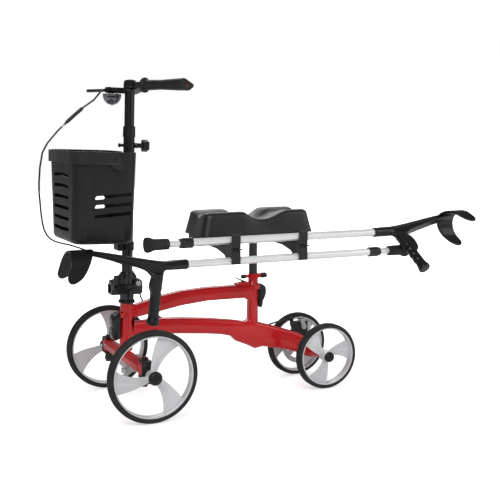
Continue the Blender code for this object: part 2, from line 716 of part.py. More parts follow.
collar_skirt = COLUMN_D / 2 + GAP
lathe("column_collar",
      [(0.0155, COLUMN_TOP + 0.018), (0.0168, COLUMN_TOP + 0.0165),
       (0.0174, COLUMN_TOP - 0.012), (collar_skirt, COLUMN_TOP - 0.012),
       (collar_skirt, COLUMN_TOP + GAP), (COLUMN_ID / 2, COLUMN_TOP + GAP),
       (COLUMN_ID / 2, COLUMN_TOP + 0.018)], COLUMN, PLASTIC, 20, ring=True)


def lobed_knob(name, on, mat, at, tip, neck_start, length, head_r, neck_r=0.0085, screw_r=0.004, lobes=5):
    """Clamping knob along +X: screw, neck and a lobed head"""
    x, y, z = at
    outline = []
    for i in range(lobes * 4):
        a = math.tau * i / (lobes * 4)
        r = head_r * (0.90 + 0.10 * math.cos(lobes * a))
        outline.append((y + r * math.cos(a), z + r * math.sin(a)))
    head_x = x + length - 0.018
    knob = plate(name, [outline], 0.018, on, mat, "YZ", head_x + 0.009)
    rounded(knob, 0.003, 1, 50)
    join(knob, rod(name + "_neck", (neck_start, y, z), (head_x + 0.002, y, z), neck_r * 0.76, on, sides=12,
                   r_end=neck_r),
         rod(name + "_screw", (tip, y, z), (neck_start + 0.002, y, z), screw_r, on, sides=10))
    return knob


knob_axis = empty("height_knob_axis", fold, (-FOLD_X, 0, KNOB_H - FOLD_H))
lobed_knob("height_knob", (knob_axis, (0, 0, 0)), PLASTIC, (boss_end, 0, 0), POST_D / 2 + GAP,
           boss_end + GAP, 0.0323, 0.0175)

# The bracket is a collar on the column with a pocket in front for the basket's tongue
bracket = lathe("basket_bracket", [(0.0185, BRACKET_H + 0.012), (0.0185, BRACKET_H - 0.012),
                                   (COLUMN_D / 2 + GAP, BRACKET_H - 0.012),
                                   (COLUMN_D / 2 + GAP, BRACKET_H + 0.012)], COLUMN, PLASTIC, 20,
                ring=True)
pocket_x = -0.0265
shelf = block("bracket_shelf", (pocket_x - 0.0085, -0.021, BRACKET_H - 0.012),
              (-0.0165, 0.021, BRACKET_H + 0.012), COLUMN)
rounded(shelf, 0.003, 1)
join(bracket, shelf)
cut(bracket, block("bracket_pocket", (pocket_x - 0.0040, -0.0155, BRACKET_H - 0.010),
                   (pocket_x + 0.0040, 0.0155, BRACKET_H + 0.03), COLUMN))

# Handlebar
post = lathe("handlebar_post", [(POST_D / 2, POST_TOP), (POST_D / 2, POST_BOTTOM),
                                (POST_ID / 2, POST_BOTTOM), (POST_ID / 2, POST_TOP)], BAR, BLACK, 20,
             ring=True)
cut(post, block("post_keyway", (-0.020, -0.0032, KNOB_H - BAR_UP - 0.0035),
                (-0.005, 0.0032, KNOB_H + BAR_DOWN + 0.0032), BAR))

sweep = Vector((math.sin(BAR_SWEEP), math.cos(BAR_SWEEP), 0))


def on_bar(side, along, x=0.0, z=0.0):
    """Point on the bar's line, at a distance along it from the middle"""
    return Vector((sweep.x * along + x, side * sweep.y * along, BAR_H + z))


tube_line = ([on_bar(-1, BAR_REACH - 0.010), on_bar(-1, 0.030), on_bar(-1, 0.012, 0.0012)]
             + [Vector((0.0035, 0, BAR_H))]
             + [on_bar(1, 0.012, 0.0012), on_bar(1, 0.030), on_bar(1, BAR_REACH - 0.010)])
handlebar = pipe("handlebar", tube_line, BAR_D / 2, BAR, BLACK, 4)
barrel = lathe("stem_barrel", [(0, BAR_H + 0.0165), (0.011, BAR_H + 0.0165), (0.017, BAR_H + 0.012),
                               (0.0175, BAR_H - 0.013), (0.0165, BAR_H - 0.016), (0, BAR_H - 0.016)],
               BAR, sides=20)
join(handlebar, barrel)
for side in (-1, 1):
    join(handlebar, rod(f"stem_sleeve_{side}", on_bar(side, 0.004), on_bar(side, 0.0245), 0.0165, BAR,
                        sides=16, r_end=0.0145))
cut(handlebar, rod("stem_bore", (0, 0, BAR_H - 0.03), (0, 0, POST_TOP + GAP), POST_D / 2 + GAP, BAR))


def along_bar(side, along):
    """Axes with local Z out along the bar and local X upward"""
    way = Vector((sweep.x, side * sweep.y, 0))
    spot = empty(f"bar_spot_{side}_{round(along * 1000)}", bar_slide,
                 on_bar(side, along) - Vector((0, 0, BAR_H)), frame_to(way).to_euler())
    return spot


def grip(name, side):
    """Soft grip: clamp ring with two lobes, long body, palm wing and a slanted end"""
    spot = along_bar(side, GRIP_START)
    on = (spot, (0, 0, 0))
    length = BAR_REACH - GRIP_START
    body = lathe(name, [(0, length + 0.012), (GRIP_D / 2 + 0.002, length + 0.012),
                        (GRIP_D / 2 + 0.001, length * 0.8), (GRIP_D / 2 - 0.0015, length * 0.45),
                        (GRIP_D / 2 - 0.0005, 0.009), (0, 0.009)], on, GRIP, 16)
    back = -side
    wing = [(0, length * 0.30), (back * -0.014, length * 0.42), (back * -0.025, length * 0.62),
            (back * -0.031, length * 0.86), (back * -0.029, length + 0.004), (back * -0.010, length + 0.010),
            (0, length + 0.010)]
    paddle = plate(name + "_wing", [[(a, b) for a, b in wing]], 0.011, on, None, "YZ", -0.002)
    rounded(paddle, 0.004, 1, 50)
    ring = plate(name + "_ring", [[(x * 1.22, y) for x, y in circle(0, 0, 0.0172, 16)]], 0.0090, on,
                 None, "XY", 0.0045)
    slant = block(name + "_slant", (-0.06, -0.06, length + 0.004), (0.06, 0.06, length + 0.05), on,
                  turn=Matrix.Rotation(math.radians(26), 4, "Y"))
    bore = rod(name + "_bore", (0, 0, -0.01), (0, 0, length - 0.006), BAR_D / 2 + 0.0007, on, sides=16)
    join(body, paddle, ring)
    cut(body, slant, bore)
    return body


grip("left_grip", -1)
grip("right_grip", 1)

# Brake lever on the right side: a clamp ring with a perch reaching forward to the hinge
perch = along_bar(1, 0.041)
mount_ring = lathe("brake_lever_mount", [(0.0150, 0.014), (0.0150, 0), (BAR_D / 2 + 0.0006, 0),
                                         (BAR_D / 2 + 0.0006, 0.014)], (perch, (0, 0, 0)), PLASTIC, 16,
                   ring=True)
LEVER_X, LEVER_Y, LEVER_Z = -0.0400, 0.058, BAR_H - 0.013
lever_axis = empty("brake_lever_axis", bar_slide, (LEVER_X, LEVER_Y, LEVER_Z - BAR_H))
perch_shape = [(0.0060, 0.0400), (0.0060, 0.0530), (-0.0260, 0.0640), (-0.0430, 0.0690),
               (-0.0510, 0.0640), (-0.0560, 0.0480), (-0.0500, 0.0440), (-0.0300, 0.0480)]
perch_arm = plate("perch_arm", [perch_shape], 0.016, BAR, None, "XY", LEVER_Z)
rounded(perch_arm, 0.002, 1)
join(mount_ring, perch_arm)
cut(mount_ring, block("perch_gap", (-0.07, 0.0515, LEVER_Z - 0.0048), (-0.0315, 0.09, LEVER_Z + 0.0048),
                      BAR),
    rod("perch_pin_hole", (LEVER_X, LEVER_Y, LEVER_Z - 0.02), (LEVER_X, LEVER_Y, LEVER_Z + 0.02),
        0.003 + RUN, BAR, sides=12),
    rod("perch_cable_seat", (-0.0510, 0.0484, LEVER_Z), (-0.0620, 0.0411, LEVER_Z), CABLE_D / 2 + RUN, BAR,
        sides=12))

blade = [(0.004, -0.0045), (0.0055, 0.004), (0.001, 0.020), (-0.004, 0.050), (-0.012, 0.085),
         (-0.020, 0.112), (-0.027, 0.119), (-0.034, 0.116), (-0.031, 0.106), (-0.022, 0.080),
         (-0.014, 0.048), (-0.010, 0.020), (-0.0068, 0.004), (-0.004, -0.0045)]
brake_lever = plate("brake_lever", [blade], 0.0088, (lever_axis, (0, 0, 0)), BLACK, "XY")
rounded(brake_lever, 0.002, 1)
join(brake_lever, rod("brake_lever_pin", (0, 0, -0.0092), (0, 0, 0.0092), 0.003,
                      (lever_axis, (0, 0, 0)), sides=12))

# Bell: a clamp ring with an arm, the dome hung under it, and a sprung striker beside the dome
BELL_X, BELL_Y, BELL_Z = -0.0400, 0.0335, BAR_H - 0.0365
bell_spot = along_bar(1, 0.0262)
bell_base = lathe("bell_base", [(0.0142, 0.012), (0.0142, 0), (BAR_D / 2 + 0.0006, 0),
                                (BAR_D / 2 + 0.0006, 0.012)], (bell_spot, (0, 0, 0)), PLASTIC, 16,
                  ring=True)
bell_arm = plate("bell_arm", [hull2(BELL_X, BELL_Y, 0.0105, 0.0009, 0.0337, 0.0035)], 0.006, BAR, None,
                 "XY", BAR_H - 0.0122)
bell_stem = rod("bell_stem", (BELL_X, BELL_Y, BAR_H - 0.0125), (BELL_X, BELL_Y, BELL_Z - 0.0190),
                0.0035, BAR, sides=12)
join(bell_base, bell_arm, bell_stem)
lathe("bell_dome", [(0.0245, 0.0125), (0.0260, 0.0122), (0.0252, 0.0014), (0.0196, -0.0112),
                    (0.0038, -0.0177), (0.0038, -0.0159), (0.0185, -0.0097), (0.0235, 0.0014)],
      BAR, STEEL, 18, (BELL_X, BELL_Y, BELL_Z), ring=True)

STRIKER_X, STRIKER_Y = BELL_X + 0.004, BELL_Y - 0.0310
striker_axis = empty("bell_striker_axis", bar_slide,
                     (STRIKER_X, STRIKER_Y, BELL_Z + 0.0030 - BAR_H))
striker_on = (striker_axis, (0, 0, 0))
striker = plate("bell_striker", [hull2(0, 0, 0.0035, -0.0250, 0.0010, 0.0028, 5)], 0.004, striker_on,
                PLASTIC, "XY")
cut(striker, rod("striker_hole", (0, 0, -0.01), (0, 0, 0.01), 0.0015 + RUN, striker_on, sides=10))
join(bell_base,
     rod("striker_pin", (STRIKER_X, STRIKER_Y, BAR_H - 0.0125), (STRIKER_X, STRIKER_Y, BELL_Z + 0.0005),
         0.0015, BAR, sides=10),
     plate("striker_ear", [hull2(BELL_X, BELL_Y, 0.008, STRIKER_X, STRIKER_Y, 0.0035, 5)],
           0.003, BAR, None, "XY", BAR_H - 0.0132))


# Spine frame: one plate with softened edges, the window between its two rails, and the tubes
def head_x(height):
    """The steering axis at a height, in the walker's own axes"""
    return -WHEELBASE / 2 - TRAIL + (height - FRONT_AXLE) * math.tan(RAKE)


def soft_plate(name, loops, thickness, edge, on, mat):
    """Plate in the XZ plane whose outer and inner edges are both rounded"""
    curve = bpy.data.curves.new(name, "CURVE")
    curve.dimensions = "2D"
    curve.fill_mode = "BOTH"
    curve.extrude = thickness / 2 - edge
    curve.bevel_depth = edge
    curve.bevel_resolution = 1
    curve.offset = -edge
    for loop in loops:
        line = curve.splines.new("POLY")
        line.points.add(len(loop) - 1)
        for point, (a, b) in zip(line.points, loop):
            point.co = (a, b, 0, 1)
        line.use_cyclic_u = True
    mesh = curve_mesh(name, curve)
    mesh.transform(Matrix.Rotation(math.pi / 2, 4, "X"))
    return place(name, smooth(mesh, 50), on, mat)


rear_x = WHEELBASE / 2
rail_top = spread([(head_x(0.285) + 0.006, 0.2880), (-0.276, 0.2895), (-0.208, 0.3078), (-0.139, 0.3187),
                   (-0.055, 0.3232), (0.031, 0.3222), (SEAT_X - 0.020, 0.3195)], 1)
rail_top = [(p[0], p[1]) for p in rail_top]
tail_top = [(SEAT_X + 0.008, 0.206), (0.140, 0.1955), (0.175, 0.184), (0.215, 0.171),
            (0.255, 0.156), (rear_x - 0.014, REAR_AXLE + 0.035)]
tail_end = circle(rear_x, REAR_AXLE, 0.0235, 7, math.radians(55), math.radians(-100))
belly = [(0.262, 0.0875), (0.236, 0.101), (0.198, 0.1125), (0.160, 0.121), (0.1255, 0.1285),
         (0.0985, 0.1245), (0.071, 0.139), (0.036, 0.154), (0.020, 0.1705), (-0.012, 0.1785),
         (-0.055, 0.1845), (-0.140, 0.1930), (-0.209, 0.199), (head_x(0.2) + 0.006, 0.200)]
window_top = [(p[0], p[1]) for p in
              spread([(0.066, 0.2820), (-0.055, 0.2833), (-0.139, 0.2757), (-0.209, 0.2636),
                      (-0.279, 0.2525)], 1)]
window_low = [(p[0], p[1]) for p in
              spread([(-0.280, 0.2400), (-0.209, 0.2432), (-0.140, 0.2390), (-0.055, 0.2300),
                      (0.030, 0.2172), (0.067, 0.2097)], 1)]
window = window_top + [(-0.2830, 0.2468)] + window_low + [(0.0790, 0.2150), (0.0805, 0.2720)]
outline = rail_top + [(SEAT_X, 0.3195)] + tail_top + tail_end + belly
main_frame = soft_plate("main_frame", [outline, window], FRAME_T, FRAME_R, BODY, RED)

head_tube = rod("head_tube", (0, 0, HEAD_LOW), (0, 0, HEAD_TOP), HEAD_D / 2, HEAD)
seat_tube = lathe("seat_tube", [(0, SEAT_TUBE_TOP), (SEAT_TUBE_D / 2 - 0.0010, SEAT_TUBE_TOP),
                                (SEAT_TUBE_D / 2, SEAT_TUBE_TOP - 0.004),
                                (SEAT_TUBE_D / 2, 0.196), (0, 0.196)], BODY, at=(SEAT_X, 0, 0))
cross_in, cross_out = 0.0205, 0.0120
cross_end = REAR_TRACK / 2 - HUB_L / 2 - 0.008
half_t = FRAME_T / 2
cross_tube = lathe("rear_cross_tube",
                   [(0, cross_end), (cross_out, cross_end), (cross_out + 0.0008, cross_end - 0.012),
                    (cross_in, half_t - 0.001), (cross_in, -half_t + 0.001),
                    (cross_out + 0.0008, -cross_end + 0.012), (cross_out, -cross_end),
                    (0, -cross_end)], BODY, sides=12, at=(rear_x, 0, REAR_AXLE), way=(0, 1, 0))
join(main_frame, head_tube, seat_tube, cross_tube)

# A short saddle on the rail in front of the seat tube
join(main_frame, plate("seat_saddle", [hull2(0.0455, 0.3205, 0.0085, 0.0720, 0.3215, 0.0100)], 0.0215, BODY,
                       None, "XZ"))

# Caliper bracket on the right end of the cross tube, with the cable's stop
ARM_PX, ARM_PZ = rear_x + 0.008, REAR_AXLE + 0.060
bracket_shape = ([(rear_x + 0.022, REAR_AXLE + 0.077), (rear_x - 0.026, REAR_AXLE + 0.077),
                  (rear_x - 0.036, REAR_AXLE + 0.0935), (rear_x - 0.040, REAR_AXLE + 0.0935),
                  (rear_x - 0.040, REAR_AXLE + 0.070), (rear_x - 0.026, REAR_AXLE + 0.042)]
                 + circle(rear_x, REAR_AXLE, 0.0160, 9, math.radians(170), math.radians(370))
                 + [(rear_x + 0.022, REAR_AXLE + 0.042)])
caliper_bracket = plate("caliper_bracket", [bracket_shape], PLATE_T, BODY, None, "XZ",
                        PLATE_Y + PLATE_T / 2)
STOP_Y = PLATE_Y - GAP - CALIPER_ARM_T - GAP - WIRE_R
STOP_H = REAR_AXLE + 0.0885
cable_stop = rod("cable_stop", (rear_x - 0.041, STOP_Y, STOP_H), (rear_x - 0.035, STOP_Y, STOP_H),
                 0.0060, BODY, sides=12)
join(main_frame, caliper_bracket, cable_stop)

# Ears of the steering lock on the head tube and of the quick release on the seat tube
LOCK_X, LOCK_H = -0.0275, 0.262
for side in (-1, 1):
    lock_ear = plate(f"lock_ear_{side}", [hull2(LOCK_X, LOCK_H, 0.0068, -0.010, LOCK_H, 0.0068, 5)],
                     0.0030, HEAD, None, "XZ", side * 0.0166)
    seat_ear = plate(f"seat_ear_{side}",
                     [hull2(SEAT_X + 0.0235, 0.314, 0.0062, SEAT_X + 0.005, 0.314, 0.0080, 5)],
                     0.0030, BODY, None, "XZ", side * 0.0135)
    join(main_frame, lock_ear, seat_ear)

# Seat tube fittings: the knob's boss behind and the guide screw with its small bar in front
seat_boss = rod("seat_boss", (SEAT_X + SEAT_TUBE_D / 2 - 0.0012, 0, SEAT_KNOB_H),
                (SEAT_X + 0.0235, 0, SEAT_KNOB_H), 0.0070, BODY, sides=16)
guide_tip = SEAT_POST_D / 2 - 0.0018
seat_guide = lathe("seat_guide_screw",
                   [(0, 0.0390), (0.0050, 0.0390), (0.0065, 0.0370), (0.0065, 0.0260),
                    (0.0045, 0.0245), (0.0045, SEAT_TUBE_D / 2 - 0.0008),
                    (0.0027, SEAT_TUBE_D / 2 - 0.0008), (0.0027, guide_tip), (0, guide_tip)],
                   BODY, sides=8, at=(SEAT_X, 0, SEAT_KNOB_H), way=(-1, 0, 0))
join(main_frame, seat_boss, seat_guide)

post_bore = SEAT_POST_D / 2 + GAP
cut(main_frame,
    rod("head_bore", (0, 0, HEAD_LOW - 0.01), (0, 0, HEAD_TOP + 0.01), HEAD_ID / 2, HEAD, spin=0.07),
    rod("seat_bore", (SEAT_X, 0, SEAT_TUBE_TOP + 0.01), (SEAT_X, 0, POST_LOW - SEAT_DOWN - 0.002),
        post_bore, BODY, spin=0.07),
    rod("rear_axle_bore", (rear_x, -0.1, REAR_AXLE), (rear_x, 0.1, REAR_AXLE), AXLE_D / 2 + GAP, BODY,
        sides=16),
    rod("caliper_arm_hole", (ARM_PX, 0.05, ARM_PZ), (ARM_PX, 0.08, ARM_PZ), 0.005 + RUN, BODY,
        sides=16),
    rod("lock_pin_hole", (LOCK_X, -0.03, LOCK_H), (LOCK_X, 0.03, LOCK_H), 0.003 + RUN, HEAD, sides=12),
    rod("seat_pin_hole", (SEAT_X + 0.0235, -0.03, 0.314), (SEAT_X + 0.0235, 0.03, 0.314), 0.0027 + RUN,
        BODY, sides=10, spin=0.1),
    rod("seat_knob_bore", (SEAT_X + 0.004, 0, SEAT_KNOB_H), (SEAT_X + 0.04, 0, SEAT_KNOB_H),
        0.004 + RUN, BODY, sides=16),
    rod("cable_seat", (rear_x - 0.05, STOP_Y, STOP_H), (rear_x - 0.038, STOP_Y, STOP_H),
        CABLE_D / 2 + GAP, BODY, sides=12),
    rod("cable_wire_way", (rear_x - 0.05, STOP_Y, STOP_H), (rear_x - 0.03, STOP_Y, STOP_H), 0.0014, BODY,
        sides=8))

# The guide screw is put back after the bore is drilled through it
tip_only = lathe("seat_guide_tip", [(0, SEAT_TUBE_D / 2 - 0.0004), (0.0026, SEAT_TUBE_D / 2 - 0.0004),
                                    (0.0026, guide_tip), (0, guide_tip)],
                 BODY, sides=8, at=(SEAT_X, 0, SEAT_KNOB_H), way=(-1, 0, 0))
join(main_frame, tip_only)

# Steering lock lever in front of the head tube, and the seat's quick release lever
lock_axis = empty("steering_lock_axis", head, (LOCK_X, 0, LOCK_H - FRONT_AXLE))
lock_on = (lock_axis, (0, 0, 0))
back_x = -HEAD_D / 2 - 0.0005 - LOCK_X
lock_shape = (circle(0, 0, back_x - 0.0012, 6, math.radians(20), math.radians(160))
              + [(-0.0150, 0.002), (-0.0195, -0.012), (-0.0180, -0.026), (-0.0155, -0.033),
                 (-0.0180, -0.040), (-0.0195, -0.054), (-0.0150, -0.068), (-0.0060, -0.0725),
                 (back_x - 0.0010, -0.066), (back_x, -0.052), (back_x - 0.0015, -0.033),
                 (back_x, -0.014)])
lock_lever = plate("steering_lock_lever", [lock_shape], 0.0290, lock_on, PLASTIC)
rounded(lock_lever, 0.003, 1, 60)
join(lock_lever, rod("lock_pin", (0, -0.0182, 0), (0, 0.0182, 0), 0.003, lock_on, sides=12))

release_axis = empty("seat_clamp_axis", walker, (SEAT_X + 0.0235, 0, 0.314))
release_on = (release_axis, (0, 0, 0))
release_shape = (circle(0, 0, 0.0078, 6, math.radians(35), math.radians(170))
                 + [(-0.0078, -0.0080), (-0.0074, -0.0330), (-0.0078, -0.0600), (-0.0035, -0.0650),
                    (0.0020, -0.0640), (0.0052, -0.0560), (0.0058, -0.0450), (0.0105, -0.0380),
                    (0.0152, -0.0270), (0.0168, -0.0140), (0.0140, -0.0010)])
release = plate("seat_clamp_lever", [release_shape], 0.0230, release_on, PLASTIC)
rounded(release, 0.0026, 1, 60)
join(release, rod("release_pin", (0, -0.0152, 0), (0, 0.0152, 0), 0.0027, release_on, sides=12))

seat_knob_axis = empty("seat_knob_axis", walker, (SEAT_X, 0, SEAT_KNOB_H))
lobed_knob("seat_knob", (seat_knob_axis, (0, 0, 0)), PLASTIC, (0.0235, 0, 0),
           SEAT_POST_D / 2 + GAP, 0.0235 + GAP, 0.0205, 0.0086, 0.0068)

# Rear axle, wheels and the disc brake
shoulder_in = cross_end + GAP
shoulder_out = REAR_TRACK / 2 - HUB_L / 2 - GAP
axle_nut = REAR_TRACK / 2 + HUB_L / 2 + GAP
half_axle = [(0, axle_nut + 0.0058), (0.0078, axle_nut + 0.0058), (0.0078, axle_nut),
             (AXLE_D / 2, axle_nut), (AXLE_D / 2, shoulder_out), (0.0080, shoulder_out),
             (0.0080, shoulder_in), (AXLE_D / 2, shoulder_in)]
lathe("rear_axle", half_axle + [(r, -y) for r, y in reversed(half_axle)], BODY, STEEL, 12,
      (rear_x, 0, REAR_AXLE), (0, 1, 0))

disc_axle = None
for side, label in ((-1, "left"), (1, "right")):
    axle = empty(f"rear_{label}_wheel_axis", walker, (rear_x, side * REAR_TRACK / 2, REAR_AXLE),
                 (-side * math.pi / 2, 0, 0))
    wheel(f"rear_{label}", axle, REAR_WHEEL_D, REAR_TYRE_H, REAR_CAP_D,
          math.radians(65 if side < 0 else 20))
    disc_axle = axle

windows = []
for i in range(5):
    a0 = math.tau * i / 5 + 0.20
    a1 = math.tau * (i + 1) / 5 - 0.20
    windows.append(circle(0, 0, 0.0445, 5, a0, a1)
                   + circle(0, 0, 0.0225, 3, a1 - 0.10, a0 + 0.10))
plate("brake_rotor", [circle(0, 0, DISC_D / 2, 32), circle(0, 0, 0.0088, 16)] + windows, DISC_T,
      (disc_axle, (0, 0, 0)), STEEL, "XY", -HUB_L / 2 - GAP - DISC_T / 2)
disc_y = REAR_TRACK / 2 - HUB_L / 2 - GAP - DISC_T / 2

caliper_in = PLATE_Y + PLATE_T + GAP
caliper_x = rear_x - 0.002
caliper = plate("brake_caliper", [[(caliper_x - 0.025, REAR_AXLE + 0.044), (caliper_x + 0.024, REAR_AXLE + 0.044),
                                   (caliper_x + 0.024, REAR_AXLE + 0.070), (caliper_x + 0.016, REAR_AXLE + 0.077),
                                   (caliper_x - 0.018, REAR_AXLE + 0.077), (caliper_x - 0.025, REAR_AXLE + 0.070)]],
                disc_y + 0.0085 - caliper_in, BODY, BLACK, "XZ", (disc_y + 0.0085 + caliper_in) / 2)
rounded(caliper, 0.002, 1, 40)
cut(caliper, block("disc_slot", (rear_x - 0.05, disc_y - 0.0022, REAR_AXLE + 0.02),
                   (rear_x + 0.05, disc_y + 0.0022, REAR_AXLE + 0.0635), BODY))

arm_axis = empty("caliper_arm_axis", walker, (ARM_PX, 0, ARM_PZ))
arm_on = (arm_axis, (0, 0, 0))
brake_arm = plate("brake_caliper_arm", [hull2(0, 0, 0.0085, -0.010, STOP_H - ARM_PZ, 0.0052)], CALIPER_ARM_T,
                  arm_on, STEEL, "XZ", PLATE_Y - GAP - CALIPER_ARM_T / 2)
join(brake_arm, rod("caliper_arm_shaft", (0, PLATE_Y - 0.002, 0), (0, PLATE_Y + PLATE_T, 0), 0.005,
                    arm_on, sides=16))

# Brake cable: held from the lever to the caliper, in two lengths that meet beside the fold joint
front_route = [(-0.0517, 0.04793, LEVER_Z), (-0.0555, 0.04541, LEVER_Z), (-0.0600, 0.04243, LEVER_Z),
               (-0.0720, 0.0420, 0.8845),
               (-0.0860, 0.053, 0.8630),
               (-0.113, 0.060, 0.842), (-0.165, 0.060, 0.795), (-0.197, 0.060, 0.761),
               (-0.228, 0.060, 0.714), (-0.237, 0.060, 0.632), (-0.234, 0.060, 0.578),
               (-0.227, 0.060, 0.520), (-0.215, 0.060, 0.487), (-0.192, 0.060, 0.468),
               (-0.149, 0.059, 0.4570), (-0.100, 0.054, 0.440), (-0.055, 0.046, 0.420),
               (-0.010, 0.038, 0.405), (0.022, 0.036, 0.388), (0.040, 0.036, 0.362)]
pipe("brake_cable_front", spread(front_route, 2), CABLE_D / 2, COLUMN, RUBBER, 1)

side_y = half_t + CABLE_D / 2 + GAP
stop_x = rear_x - 0.038
rear_route = [(head_x(0.361) + 0.0412, 0.036, 0.3580), (-0.2545, 0.034, 0.330), (-0.250, 0.028, 0.303),
              (-0.242, side_y + 0.001, 0.283), (-0.222, side_y, 0.262), (-0.190, side_y, 0.238),
              (-0.140, side_y, 0.222), (-0.055, side_y, 0.212), (0.030, side_y, 0.198),
              (0.090, side_y, 0.1885), (0.130, side_y + 0.002, 0.1850), (0.165, 0.030, 0.1845),
              (0.200, 0.046, 0.187), (0.232, STOP_Y - 0.001, STOP_H), (stop_x - GAP, STOP_Y, STOP_H)]
rear_cable = pipe("brake_cable_rear", spread(rear_route, 1), CABLE_D / 2, BODY, RUBBER, 1)
join(rear_cable, rod("brake_wire", (stop_x - 0.004, STOP_Y, STOP_H),
                     (ARM_PX - 0.004, STOP_Y, STOP_H), WIRE_R, BODY, sides=6))

# Basket and its carry handle
basket_back = BASKET_REAR
basket_front = BASKET_REAR - BASKET_L
bm = bmesh.new()
tall = BASKET_TOP - BASKET_BOTTOM
bmesh.ops.create_cube(bm, size=1, matrix=Matrix.Translation(
    ((basket_back + basket_front) / 2, 0, (BASKET_TOP + BASKET_BOTTOM) / 2))
    @ Matrix.Diagonal((BASKET_L, BASKET_TOP_W, tall, 1)))
for vert in bm.verts:
    if vert.co.z < BASKET_BOTTOM + tall / 2:
        vert.co.y *= BASKET_BOTTOM_W / BASKET_TOP_W
        if vert.co.x < (basket_back + basket_front) / 2:
            vert.co.x += 0.004
uprights = [e for e in bm.edges if abs(e.verts[0].co.z - e.verts[1].co.z) > tall / 2]
bmesh.ops.bevel(bm, geom=uprights, offset=BASKET_R, segments=4, affect="EDGES", profile=0.5)
floor_rim = [e for e in bm.edges if all(v.co.z < BASKET_BOTTOM + 0.001 for v in e.verts)]
bmesh.ops.bevel(bm, geom=floor_rim, offset=0.012, segments=2, affect="EDGES", profile=0.5)
bmesh.ops.delete(bm, geom=[f for f in bm.faces if all(v.co.z > BASKET_TOP - 0.001 for v in f.verts)],
                 context="FACES_ONLY")
basket = place("basket", smooth(mesh_of(bm, "basket")), BASKET, PLASTIC)
wall = basket.modifiers.new("wall", "SOLIDIFY")
wall.thickness = BASKET_WALL
wall.offset = -1
wall.use_even_offset = True
slots = []
for i, drop in enumerate((0.066, 0.095, 0.124, 0.152, 0.180, 0.208)):
    height = BASKET_TOP - drop
    arch = 0.004 - 0.0012 * i
    slot = ([(-0.075, height - 0.0035), (-0.0715, height - 0.006), (0, height - 0.006 + arch),
             (0.0715, height - 0.006), (0.075, height - 0.0035), (0.075, height + 0.0005),
             (0.0715, height + 0.003), (0, height + 0.003 + arch), (-0.0715, height + 0.003),
             (-0.075, height + 0.0005)])
    slots.append(plate(f"front_slot_{i}", [slot], 0.040, BASKET, None, "YZ", basket_front + 0.002))
for i, (ahead_drop, behind_drop) in enumerate(((0.121, 0.111), (0.145, 0.137), (0.171, 0.162))):
    ahead, behind = BASKET_TOP - ahead_drop, BASKET_TOP - behind_drop
    x0, x1 = -0.1335, -0.0305
    slot = [(x0, ahead - 0.004), (x0 + 0.004, ahead - 0.005), (x1 - 0.004, behind - 0.005),
            (x1, behind - 0.001), (x1 - 0.003, behind + 0.005), (x0 + 0.004, ahead + 0.005),
            (x0, ahead + 0.001)]
    slots.append(plate(f"side_slot_{i}", [slot], BASKET_TOP_W + 0.04, BASKET, None, "XZ"))
tongue = block("basket_tongue", (pocket_x - 0.0037, -0.0152, BRACKET_H - 0.010 + GAP),
               (pocket_x + 0.0037, 0.0152, BASKET_BOTTOM + 0.0015), BASKET)
join(basket, tongue)
cut(basket, *slots)
# A notch in the rear rim passes the column's stop screw when the basket is lifted
cut(basket, block("stop_notch", (BASKET_REAR - 0.0085, -0.009, KNOB_H - 0.0075 - BASKET_LIFT),
                  (BASKET_REAR + 0.0065, 0.009, BASKET_TOP + 0.010), BASKET))

PIVOT_X, PIVOT_H = BASKET_REAR - PIVOT_BACK, BASKET_TOP - 0.024
rivet_hole = rod("rivet_hole", (PIVOT_X, -0.2, PIVOT_H), (PIVOT_X, 0.2, PIVOT_H), 0.003 + RUN, BASKET,
                 sides=12)
cut(basket, rivet_hole)
handle_axis = empty("basket_handle_axis", basket_slide,
                    (PIVOT_X - BASKET_REAR, 0, PIVOT_H - BRACKET_H))
handle_on = (handle_axis, (-PIVOT_X, 0, -PIVOT_H))
inner_y = BASKET_TOP_W / 2 + BAND_SIDE_GAP
inner_x = basket_front - BAND_FRONT_GAP
band_in = (circle(inner_x + BASKET_R, -inner_y + BASKET_R, BASKET_R, 5, -math.pi / 2, -math.pi)
           + circle(inner_x + BASKET_R, inner_y - BASKET_R, BASKET_R, 5, math.pi, math.pi / 2))
outer_r = BASKET_R + BAND_T
band_out = (circle(inner_x + BASKET_R, inner_y - BASKET_R, outer_r, 5, math.pi / 2, math.pi)
            + circle(inner_x + BASKET_R, -inner_y + BASKET_R, outer_r, 5, -math.pi, -math.pi / 2))
tail_x = PIVOT_X + 0.012
band = ([(tail_x, -inner_y)] + band_in + [(tail_x, inner_y), (tail_x, inner_y + BAND_T)] + band_out
        + [(tail_x, -inner_y - BAND_T)])
handle = plate("basket_handle", [band], BAND_H, handle_on, PLASTIC, "XY", BASKET_TOP - 0.001 - BAND_H / 2)
for side in (-1, 1):
    lobe = plate(f"handle_lobe_{side}", [hull2(PIVOT_X, PIVOT_H, 0.0175, PIVOT_X + 0.016, PIVOT_H - 0.018,
                                               0.0085)],
                 BAND_T - 0.0002, handle_on, None, "XZ", side * (inner_y + BAND_T / 2))
    rivet = rod(f"handle_rivet_{side}", (PIVOT_X, side * (inner_y - 0.0062), PIVOT_H),
                (PIVOT_X, side * (inner_y + BAND_T + 0.0012), PIVOT_H), 0.003, handle_on, sides=12)
    rivet_head = rod(f"rivet_head_{side}", (PIVOT_X, side * (inner_y + BAND_T - 0.0004), PIVOT_H),
                     (PIVOT_X, side * (inner_y + BAND_T + 0.0016), PIVOT_H), 0.0055, handle_on, sides=12)
    join(handle, lobe, rivet, rivet_head)

